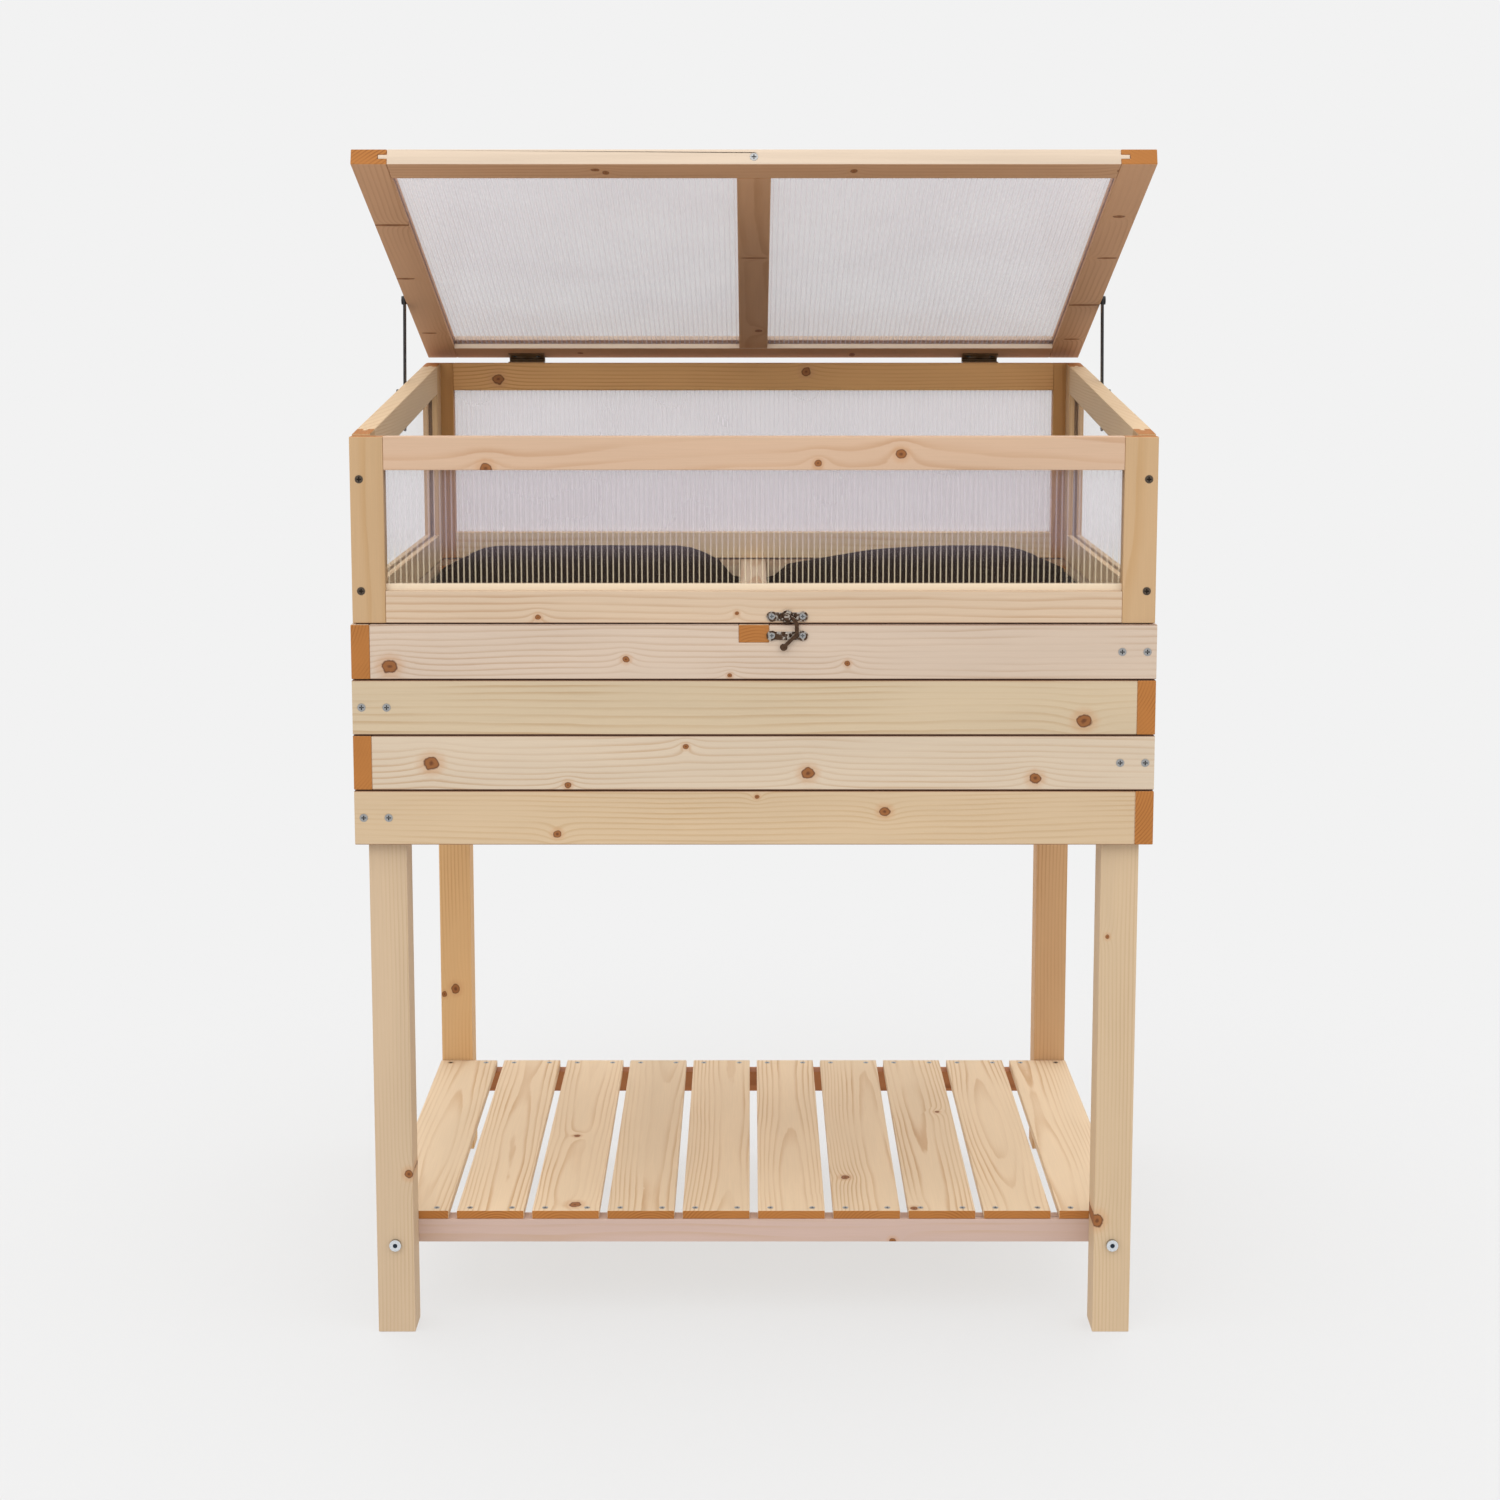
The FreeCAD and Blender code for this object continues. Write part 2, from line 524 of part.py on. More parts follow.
def side_panel(word, side):
    """Side panel between the front and rear ones, with a top rail that follows the slope."""
    ends = (f"-{PANEL_IN_Y}", PANEL_IN_Y)
    reach = f"({PANEL_IN_Y} - stile_width)"
    inset = f"(panel_thick - {GROOVE}) / 2"
    lower = f"({FRAME_BOTTOM} + bottom_rail)"
    fasten = [frame_holes, stay_knobs]

    def under(y):
        return f"({slope(y)} - top_rail)"

    stiles = []
    for hand, end in ((-1, "front"), (1, "rear")):
        ys = (ends[0], f"-{reach}") if hand < 0 else (reach, ends[1])
        groove = (f"-{reach} - groove_deep", f"-{reach}") if hand < 0 else (reach, f"{reach} + groove_deep")
        name = f"{word}_stile_{end}"
        stock = side_piece(f"{name}_stock", side, ys, (FRAME_BOTTOM,) * 2, (slope(ys[0]), slope(ys[1])))
        channel = side_piece(f"{name}_groove", side, groove, (FRAME_BOTTOM,) * 2,
                             (f"{slope(groove[0])} + 1", f"{slope(groove[1])} + 1"), inset, GROOVE)
        stiles.append(cut(name, stock, [channel] + fasten))
    node(group(f"{word}_panel_stiles", stiles))
    wide = (f"-{reach} - groove_deep + tongue_short", f"{reach} + groove_deep - tongue_short")
    clear = (f"-{reach} - groove_deep", f"{reach} + groove_deep")
    for rail in ("bottom_rail", "top_rail"):
        name = f"{word}_panel_{rail}"
        ys = (f"-{reach}", reach)
        if rail == "bottom_rail":
            low, high = [lambda y: FRAME_BOTTOM, lambda y: lower]
            cheek = [lambda y: f"{lower} - groove_deep", lambda y: f"{lower} + 1"]
        else:
            low, high = under, slope
            cheek = [lambda y: f"{under(y)} - 1", lambda y: f"{under(y)} + groove_deep"]
        bar = side_piece(f"{name}_bar", side, ys, [low(y) for y in ys], [high(y) for y in ys])
        tongue = side_piece(f"{name}_tongue", side, wide, [low(y) for y in wide], [high(y) for y in wide],
                            inset, GROOVE)
        channel = side_piece(f"{name}_groove", side, clear, [cheek[0](y) for y in clear],
                             [cheek[1](y) for y in clear], inset, GROOVE)
        node(cut(name, fuse(f"{name}_stock", [bar, tongue]), [channel] + fasten))
    ys = (f"-{reach} - glazing_bite", f"{reach} + glazing_bite")
    return side_piece(f"{word}_pane", side, ys, (f"{lower} - glazing_bite",) * 2,
                      [f"{under(y)} + glazing_bite" for y in ys], "(panel_thick - glazing_thick) / 2",
                      "glazing_thick")


upright_panel("front", -1, FRAME_FRONT_TOP)
upright_panel("rear", 1, REAR_TOP)
node(group("side_glazing", [side_panel("left", -1), side_panel("right", 1)]))


# Hinges ---------------------------------------------------------------------------------------

def hinge_leaf(name, place, wide, plate, web, own):
    """One leaf with its knuckles on the local X axis. The leaf with the end knuckles carries the pin."""
    low = f"({place} - {wide} / 2)"
    pitch = f"(({wide} + knuckle_play) / 5)"
    pieces = [block(f"{name}_plate", (low, f"{low} + {wide}"), *plate)]
    for i in own:
        start = f"{low} + {i} * {pitch}"
        length = f"{pitch} - knuckle_play"
        pieces.append(rod(f"{name}_knuckle_{i}", "barrel_radius", "x", (start, "0", "0"), length))
        pieces.append(block(f"{name}_web_{i}", (start, f"{start} + {length}"), *web))
    leaf = fuse(f"{name}_leaf", pieces)
    if 0 in own:
        return fuse(name, [leaf, rod(f"{name}_core", "pin_radius", "x", (low, "0", "0"), wide)])
    return cut(name, leaf, [rod(f"{name}_bore", "pin_radius + pin_play", "x", (f"{low} - 1", "0", "0"),
                                f"{wide} + 2")])


def leaves(name, place, wide, plate, web, own):
    """A left and a right leaf on one axis."""
    return group(f"{name}_pair", [hinge_leaf(f"{name}_{word}", f"({side} * {place})", wide, plate, web, own)
                                  for side, word in ((-1, "left"), (1, "right"))])


def posed(name, piece, y, z, tilt):
    """A piece made about its own pivot, carried to that pivot and turned so that its front rises."""
    carried = group(name, [piece])
    if tilt != "0":
        carried.Placement.Rotation = FreeCAD.Rotation(FreeCAD.Vector(-1, 0, 0), number(tilt))
        bind(carried, Placement__Rotation__Angle=tilt)
    bind(carried, Placement__Base__y=y, Placement__Base__z=z)
    return carried


ENDS, MIDDLES = (0, 2, 4), (1, 3)
LEAF_Y = ("-leaf_long", "-barrel_radius - barrel_relief")
SCREW_Y = "-((barrel_radius + leaf_long) / 2 + 1)"

lower_z = ("-barrel_radius", "-barrel_radius + leaf_thick")
lower_pair = leaves("lid_hinge_lower", "hinge_place", "hinge_wide", (LEAF_Y, lower_z),
                    ((LEAF_Y[1], "0"), lower_z), ENDS)
node(cut("lid_hinge_lower_leaves", posed("lid_hinge_lower_set", lower_pair, LID_AXIS_Y, LID_AXIS_Z, "0"),
         [frame_fitting_holes]))
upper_z = ("lid_lift - leaf_thick", "lid_lift")
upper_pair = leaves("lid_hinge_upper", "hinge_place", "hinge_wide", (LEAF_Y, upper_z),
                    ((LEAF_Y[1], "0"), upper_z), MIDDLES)
fixed_y = (f"{PLANTER_Y} - {REAR_AXIS_Y}", f"{PLANTER_Y} - {REAR_AXIS_Y} + leaf_thick")
fixed_pair = leaves("rear_hinge_fixed", "rear_hinge_place", "rear_hinge_wide",
                    (fixed_y, ("-leaf_long", "-barrel_radius - barrel_relief")),
                    ((fixed_y[0], "0"), ("-barrel_radius - barrel_relief", "0")), ENDS)
node(cut("rear_hinge_fixed_leaves", posed("rear_hinge_fixed_set", fixed_pair, REAR_AXIS_Y, REAR_AXIS_Z, "0"),
         [planter_fitting_holes]))
moving_y = (f"{FRAME_Y} - {REAR_AXIS_Y}", f"{FRAME_Y} - {REAR_AXIS_Y} + leaf_thick")
moving_pair = leaves("rear_hinge_moving", "rear_hinge_place", "rear_hinge_wide",
                     (moving_y, ("1", "leaf_long")), ((moving_y[0], "0"), ("1", "1 + leaf_thick")), MIDDLES)
node(cut("rear_hinge_moving_leaves", posed("rear_hinge_moving_set", moving_pair, REAR_AXIS_Y, REAR_AXIS_Z, "0"),
         [frame_fitting_holes]))


# Lid, made about its hinge axis with its front towards -Y, then tilted open ---------------------

LID_Z = ("lid_lift", "lid_lift + lid_thick")
LID_SLOT = (f"lid_lift + lid_thick / 2 - {GROOVE} / 2", f"lid_lift + lid_thick / 2 + {GROOVE} / 2")
LID_FRONT_IN = f"(-{LID_END} + lid_front)"
LID_BACK_IN = f"(-{LID_BACK} - lid_back)"
LID_INNER = "(lid_width / 2 - lid_side)"


def lid_node(name, piece):
    return node(posed(name, piece, LID_AXIS_Y, LID_AXIS_Z, "lid_angle"))


def stay_pivots():
    """Shouldered screws in the lid's sides that the stays turn on."""
    grip = f"{STAY_X} + stay_thick + side_play"
    pivots = []
    for side, word in ((-1, "left"), (1, "right")):
        parts = []
        for part, radius, start, length in (
                ("shank", "peg_radius", f"{LID_X} - pivot_hold",
                 f"{grip} - {LID_X} + pivot_hold + 1"),
                ("shoulder", "peg_radius + pivot_rim", LID_X, f"{STAY_X} - {LID_X} - side_play"),
                ("head", "peg_radius + peg_rim", grip, "pivot_head")):
            first = start if side > 0 else f"-({start}) - ({length})"
            parts.append(rod(f"stay_pivot_{word}_{part}", radius, "x", (first, "-stay_reach", "stay_offset"), length))
        pivots.append(fuse(f"stay_pivot_{word}", parts))
    return group("stay_pivots_pair", pivots)


def lid_screws():
    """Screws through the front and back rails into the mullion, and those of the upper hinge leaves."""
    places = [(("0", f"-{LID_END}", "lid_lift + lid_thick / 2"), "front"),
              (("0", f"-{LID_BACK}", "lid_lift + lid_thick / 2"), "rear")]
    for side in (-1, 1):
        for end in (-1, 1):
            places.append(((f"{side} * hinge_place + {end} * hinge_wide / 3", SCREW_Y,
                            "lid_lift - leaf_thick"), "down"))
    long_ones, long_holes = fasteners("lid_rail_screws", wood_screw, places[:2])
    short_ones, short_holes = fasteners("lid_leaf_screws", small_screw, places[2:])
    return group("lid_screws_set", [long_ones, short_ones]), group("lid_holes_set", [long_holes, short_holes])


pivots = stay_pivots()
lid_fasteners, lid_holes = lid_screws()
lid_node("stay_pivots", pivots)
lid_node("lid_screws", lid_fasteners)
lid_node("lid_hinge_upper_leaves", cut("lid_hinge_upper_cut", upper_pair, [lid_holes]))
for side, word in ((-1, "left"), (1, "right")):
    span = (LID_INNER, LID_X) if side > 0 else (f"-{LID_X}", f"-{LID_INNER}")
    groove = (LID_INNER, f"{LID_INNER} + groove_deep") if side > 0 \
        else (f"-{LID_INNER} - groove_deep", f"-{LID_INNER}")
    length = (f"-{LID_END}", f"-{LID_BACK}")
    name = f"lid_side_rail_{word}"
    stock = block(f"{name}_stock", span, length, LID_Z)
    channel = block(f"{name}_groove", groove, length, LID_SLOT)
    lid_node(name, cut(f"{name}_cut", stock, [channel, pivots]))
tongue_x = (f"-{LID_INNER} - groove_deep + lid_tongue_short", f"{LID_INNER} + groove_deep - lid_tongue_short")
for word, span, groove in (
        ("front", (f"-{LID_END}", LID_FRONT_IN), (f"{LID_FRONT_IN} - groove_deep", LID_FRONT_IN)),
        ("back", (LID_BACK_IN, f"-{LID_BACK}"), (LID_BACK_IN, f"{LID_BACK_IN} + groove_deep"))):
    name = f"lid_{word}_rail"
    bar = block(f"{name}_bar", (f"-{LID_INNER}", LID_INNER), span, LID_Z)
    tongue = block(f"{name}_tongue", tongue_x, span, LID_SLOT)
    channel = block(f"{name}_groove", (f"-{LID_X}", LID_X), groove, LID_SLOT)
    lid_node(name, cut(f"{name}_cut", fuse(f"{name}_stock", [bar, tongue]), [channel, lid_holes]))
bar = block("lid_mullion_bar", ("-lid_middle / 2", "lid_middle / 2"), (LID_FRONT_IN, LID_BACK_IN), LID_Z)
tongue = block("lid_mullion_tongue", ("-lid_middle / 2", "lid_middle / 2"),
               (f"{LID_FRONT_IN} - groove_deep + lid_tongue_short", f"{LID_BACK_IN} + groove_deep - lid_tongue_short"), LID_SLOT)
channels = [block(f"lid_mullion_groove_{word}", span, (LID_FRONT_IN + " - groove_deep", LID_BACK_IN + " + groove_deep"),
                  LID_SLOT)
            for word, span in (("left", ("-lid_middle / 2", "-lid_middle / 2 + groove_deep")),
                               ("right", ("lid_middle / 2 - groove_deep", "lid_middle / 2")))]
lid_node("lid_mullion", cut("lid_mullion_cut", fuse("lid_mullion_stock", [bar, tongue]),
                            channels + [lid_holes]))
panes = []
for side, word in ((-1, "left"), (1, "right")):
    edges = ("lid_middle / 2 - glazing_bite", f"{LID_INNER} + glazing_bite")
    span = edges if side > 0 else (f"-({edges[1]})", f"-({edges[0]})")
    panes.append(block(f"lid_pane_{word}", span,
                       (f"{LID_FRONT_IN} - glazing_bite", f"{LID_BACK_IN} + glazing_bite"),
                       ("lid_lift + lid_thick / 2 - glazing_thick / 2", "lid_lift + lid_thick / 2 + glazing_thick / 2")))
lid_node("lid_glazing", group("lid_panes", panes))


# Stays, made about their pivots and hanging down ------------------------------------------------

def stay(side, word):
    """A slotted flat bar that hangs from the lid and slides on the frame's peg."""
    plate = (STAY_X, f"{STAY_X} + stay_thick") if side > 0 else (f"-{STAY_X} - stay_thick", f"-{STAY_X}")
    through = (f"{plate[0]} - 1", f"{plate[1]} + 1")
    thick = "stay_thick"
    half_slot = "(peg_radius + peg_play)"
    low = "(stay_wide / 2 - stay_long)"
    slot_low = f"({low} + 1)"
    name = f"stay_{word}"
    bar = fuse(f"{name}_bar", [
        block(f"{name}_strap", plate, ("-stay_wide / 2", "stay_wide / 2"), (low, "0")),
        rod(f"{name}_top", "stay_wide / 2", "x", (plate[0], "0", "0"), thick),
        rod(f"{name}_tip", "stay_wide / 2", "x", (plate[0], "0", low), thick)])
    hole = rod(f"{name}_hole", "peg_radius + pivot_play", "x", (through[0], "0", "0"), f"{thick} + 2")
    slot = fuse(f"{name}_slot", [
        block(f"{name}_slot_run", through, (f"-{half_slot}", half_slot), (slot_low, "-stay_start")),
        rod(f"{name}_slot_top", half_slot, "x", (through[0], "0", "-stay_start"), f"{thick} + 2"),
        rod(f"{name}_slot_tip", half_slot, "x", (through[0], "0", slot_low), f"{thick} + 2")])
    pivot_y = f"{LID_AXIS_Y} - {STAY_RADIUS} * cos({STAY_RISE})"
    pivot_z = f"{LID_AXIS_Z} + {STAY_RADIUS} * sin({STAY_RISE})"
    node(posed(name, cut(f"{name}_cut", bar, [hole, slot]), pivot_y, pivot_z, STAY_LEAN))


stay(-1, "left")
stay(1, "right")


# Latch ------------------------------------------------------------------------------------------

def latch_base(name, y, z, extras, screws):
    """A plate with two round ears and its raised parts, drilled for its screws."""
    deep = (f"-{y} - latch_thick", f"-{y}")
    pieces = [block(f"{name}_bar", ("latch_place - latch_span", "latch_place + latch_span"), deep,
                    (f"{z} - latch_ear * 0.8", f"{z} + latch_ear * 0.8"))]
    for side, word in ((-1, "left"), (1, "right")):
        pieces.append(rod(f"{name}_ear_{word}", "latch_ear", "y",
                          (f"latch_place + {side} * latch_span", deep[0], z), "latch_thick"))
    return cut(name, fuse(f"{name}_plate", pieces + extras), screws)


RIVET = "latch_place"
pivot_top = f"-{ARM_Y} - arm_thick - side_play - rivet_rim"
dome = [rod("latch_dome", "latch_ear + dome_rim", "y", (RIVET, f"-{ARM_Y} + side_play", LATCH_Z), "arm_stand - side_play"),
        rod("latch_rivet", "peg_radius", "y", (RIVET, pivot_top, LATCH_Z), "arm_thick + side_play * 2 + rivet_rim"),
        rod("latch_rivet_head", "peg_radius + rivet_rim", "y", (RIVET, pivot_top, LATCH_Z), "rivet_rim")]
node(latch_base("latch_plate", FRAME_Y, LATCH_Z, dome, [frame_fitting_holes]))
keeper_z = f"({LATCH_Z} - latch_pitch)"
catch = [rod("latch_catch", "catch_radius", "y", (RIVET, f"-{ARM_Y} + side_play", keeper_z),
             f"{ARM_Y} - side_play - {PLANTER_Y}")]
node(latch_base("latch_keeper", PLANTER_Y, keeper_z, catch, [planter_fitting_holes]))


def latch_arm():
    """A swinging hook: an eye, a quarter ring, a straight, a slanting tail and a round end."""
    y = (f"-{ARM_Y} - arm_thick", f"-{ARM_Y}")
    outer = "(arm_bend + arm_wide / 2)"
    inner = "(arm_bend - arm_wide / 2)"
    middle = f"({LATCH_Z} - arm_bend)"
    ring = rod("arm_ring_outer", outer, "y", (RIVET, y[0], middle), "arm_thick")
    ring_hole = rod("arm_ring_inner", inner, "y", (RIVET, f"{y[0]} - 1", middle), "arm_thick + 2")
    corner = block("arm_quarter", (RIVET, f"{RIVET} + 2 * arm_bend"), (f"{y[0]} - 1", f"{y[1]} + 1"),
                   (middle, f"{middle} + 2 * arm_bend"))
    bend = add("Part::Common", "arm_bend_piece")
    bend.Base, bend.Tool = cut("arm_ring", ring, [ring_hole]), corner
    low = f"({middle} - arm_down)"
    straight = block("arm_straight", (f"{RIVET} + {inner}", f"{RIVET} + {outer}"), y, (low, middle))
    elbow = rod("arm_elbow", "arm_wide / 2", "y", (f"{RIVET} + arm_bend", y[0], low), "arm_thick")
    tail = add("Part::Box", "arm_tail_piece")
    tail.Placement.Rotation = FreeCAD.Rotation(FreeCAD.Vector(0, -1, 0), 225)
    bind(tail, Length="arm_tail", Width="arm_thick", Height="arm_wide",
         Placement__Base__x=f"{RIVET} + arm_bend - arm_wide / 2 * sin(45)",
         Placement__Base__y=y[0], Placement__Base__z=f"{low} + arm_wide / 2 * cos(45)")
    tip = rod("arm_tip", "arm_end", "y", (f"{RIVET} + arm_bend - arm_tail * cos(45)", y[0],
                                          f"{low} - arm_tail * sin(45)"), "arm_thick")
    eye = rod("arm_eye", "arm_wide + eye_rim", "y", (RIVET, y[0], LATCH_Z), "arm_thick")
    hole = rod("arm_hole", "peg_radius + pivot_play", "y", (RIVET, f"{y[0]} - 1", LATCH_Z), "arm_thick + 2")
    node(cut("latch_arm", fuse("latch_arm_solid", [bend, straight, elbow, tail, tip, eye]), [hole]))


latch_arm()


# Check and write ----------------------------------------------------------------------------------

doc.recompute()
for thing in doc.Objects:
    if {"Invalid", "Error"} & set(thing.State):
        raise SystemExit(f"{thing.Label} failed: {thing.State}")
os.makedirs("parts", exist_ok=True)
for piece in NODES:
    if piece.Shape.isNull() or not piece.Shape.isValid() or not piece.Shape.Solids:
        raise SystemExit(f"{piece.Label} has no sound shape")
    piece.Shape.exportStep(f"parts/{piece.Label}.step")
print(len(NODES), "nodes,", sum(len(piece.Shape.Solids) for piece in NODES), "solids")
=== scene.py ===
import math

import bmesh
import bpy
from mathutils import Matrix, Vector, noise


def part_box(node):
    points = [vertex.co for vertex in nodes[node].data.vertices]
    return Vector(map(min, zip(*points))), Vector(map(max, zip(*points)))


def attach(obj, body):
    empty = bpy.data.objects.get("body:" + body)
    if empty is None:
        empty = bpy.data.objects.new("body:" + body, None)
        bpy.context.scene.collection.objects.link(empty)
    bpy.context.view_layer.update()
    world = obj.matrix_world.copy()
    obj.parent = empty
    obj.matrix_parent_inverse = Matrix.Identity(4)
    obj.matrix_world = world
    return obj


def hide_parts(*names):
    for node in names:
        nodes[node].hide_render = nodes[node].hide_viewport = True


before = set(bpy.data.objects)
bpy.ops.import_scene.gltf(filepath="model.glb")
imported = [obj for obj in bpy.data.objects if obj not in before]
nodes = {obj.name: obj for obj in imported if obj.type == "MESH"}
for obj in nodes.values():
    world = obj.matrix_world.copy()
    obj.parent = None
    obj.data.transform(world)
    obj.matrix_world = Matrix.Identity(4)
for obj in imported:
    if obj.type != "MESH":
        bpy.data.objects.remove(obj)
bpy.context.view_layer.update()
bpy.ops.object.select_all(action="DESELECT")
scene = bpy.context.scene
scene.view_settings.view_transform = "Standard"


# The camera stands on the ground in front of the planter, a little above the closed
# glazing, and looks slightly down. The lens is a normal one, so the legs stay upright.
bpy.ops.object.camera_add(location=(-0.0033, -2.6918, 1.0757),
                          rotation=(math.radians(90 - 7.39), 0, 0))
camera = bpy.context.object
camera.name = "camera"
camera.data.sensor_width = 36
camera.data.lens = 58.48
camera.data.shift_x = -0.0004
camera.data.shift_y = -0.10
camera.data.clip_start = 0.05
camera.data.clip_end = 60
scene.camera = camera


# The studio is a pale floor that fades out a few metres away into an even, nearly white
# surround. One wide soft lamp stands in front, above and to the left of the lens.
def linear(code):
    """A hex colour as it is written for a screen, as linear red, green, blue and 1."""
    parts = [int(code[i:i + 2], 16) / 255 for i in (1, 3, 5)]
    return tuple(c / 12.92 if c <= 0.04045 else ((c + 0.055) / 1.055) ** 2.4
                 for c in parts) + (1.0,)


def put(tree, kind, feeds=None, **settings):
    """One node in the tree with its settings, and each input given a value or a link."""
    made = tree.nodes.new("ShaderNode" + kind)
    for key, value in settings.items():
        setattr(made, key, value)
    for key, value in (feeds or {}).items():
        if isinstance(value, bpy.types.NodeSocket):
            tree.links.new(value, made.inputs[key])
        else:
            made.inputs[key].default_value = value
    return made


def blank(name):
    """A new material with an empty node tree, and that tree."""
    made = bpy.data.materials.new(name)
    made.use_nodes = True
    made.node_tree.nodes.clear()
    return made, made.node_tree


def smooth(tree, value, low, high, before=0.0, after=1.0):
    """A number that goes softly from before to after while value goes from low to high."""
    return put(tree, "MapRange", {"Value": value, "From Min": low, "From Max": high,
                                  "To Min": before, "To Max": after},
               interpolation_type="SMOOTHSTEP").outputs[0]


world = bpy.data.worlds.new("pale_surround")
world.use_nodes = True
surround = world.node_tree.nodes["Background"]
surround.inputs["Color"].default_value = linear("#f2f2f2")
toward = put(world.node_tree, "TexCoord")
rise = put(world.node_tree, "SeparateXYZ", {0: toward.outputs["Generated"]})
bright = smooth(world.node_tree, rise.outputs[2], 0.36, 0.5, 1.0, 1.85)
world.node_tree.links.new(bright, surround.inputs["Strength"])
scene.world = world

bpy.ops.object.light_add(type="AREA", location=(-1.5, -3.6, 3.6))
lamp = bpy.context.object
lamp.name = "front_soft_lamp"
lamp.data.shape = "DISK"
lamp.data.size = 2.6
lamp.data.energy = 14
lamp.rotation_euler = (Vector((0, 0, 0.7)) - lamp.location).to_track_quat("-Z", "Y").to_euler()

bpy.ops.mesh.primitive_circle_add(vertices=96, radius=9, fill_type="NGON",
                                  location=(0, 0, 0))
floor = bpy.context.object
floor.name = "studio_floor"
paper, tree = blank("pale_paper_floor")
place = put(tree, "TexCoord")
far = put(tree, "VectorMath", {0: place.outputs["Object"]}, operation="LENGTH")
fade = smooth(tree, far.outputs["Value"], 0.45, 1.5, 0.72, 1.0)
matt = put(tree, "BsdfDiffuse", {"Color": linear("#cbcbcb")})
clear = put(tree, "BsdfTransparent")
mixed = put(tree, "MixShader", {0: fade, 1: matt.outputs[0], 2: clear.outputs[0]})
put(tree, "OutputMaterial", {"Surface": mixed.outputs[0]})
floor.data.materials.append(paper)


# The four legs are 38 mm square planed spruce, on end, with the boards screwed to them.
# Spruce is pale and straight grained: broad cream early wood between thin tan lines of
# late wood, amber round the knots, and orange brown and darker where it is cut across.
def finish_with(material, *names, body=None, slot="wood", ease=0.0009):
    """Gives these CAD pieces the material. With a body named, each is also made again with
    its sharp edges eased by that much, as sandpaper or a rumbling drum leaves them."""
    for name in names:
        mesh = nodes[name].data
        if not mesh.materials:
            mesh.materials.append(material)
        for i in range(len(mesh.materials)):
            mesh.materials[i] = material
        if body:
            piece = bpy.data.objects.new("eased_" + name, mesh.copy())
            bpy.context.collection.objects.link(piece)
            bpy.ops.object.select_all(action="DESELECT")
            piece.select_set(True)
            bpy.context.view_layer.objects.active = piece
            bpy.ops.object.mode_set(mode="EDIT")
            bpy.ops.mesh.select_all(action="SELECT")
            bpy.ops.mesh.remove_doubles(threshold=0.00001)
            bpy.ops.mesh.dissolve_limited(angle_limit=math.radians(1))
            bpy.ops.object.mode_set(mode="OBJECT")
            bpy.ops.object.modifier_add(type="BEVEL")
            bevel = piece.modifiers[-1]
            bevel.width = ease
            bevel.segments = 2
            bevel.limit_method = "ANGLE"
            bevel.angle_limit = math.radians(40)
            bevel.use_clamp_overlap = slot != "wood"
            bpy.ops.object.modifier_apply(modifier=bevel.name)
            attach(piece, body)
            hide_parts(name)


def arithmetic(tree):
    """A function that adds one sum to the tree and gives back the socket of its result."""
    def calc(operation, *values):
        return put(tree, "Math", dict(enumerate(values)), operation=operation).outputs[0]
    return calc


def length(tree, a, b):
    """The distance that is a one way and b at right angles to it."""
    flat = put(tree, "CombineXYZ", {0: a, 1: b})
    return put(tree, "VectorMath", {0: flat.outputs[0]}, operation="LENGTH").outputs["Value"]


def blend(tree, much, below, above):
    """A colour between two others, each given as a hex code or a socket."""
    below, above = (linear(c) if isinstance(c, str) else c for c in (below, above))
    return put(tree, "Mix", {0: much, 6: below, 7: above}, data_type="RGBA").outputs[2]


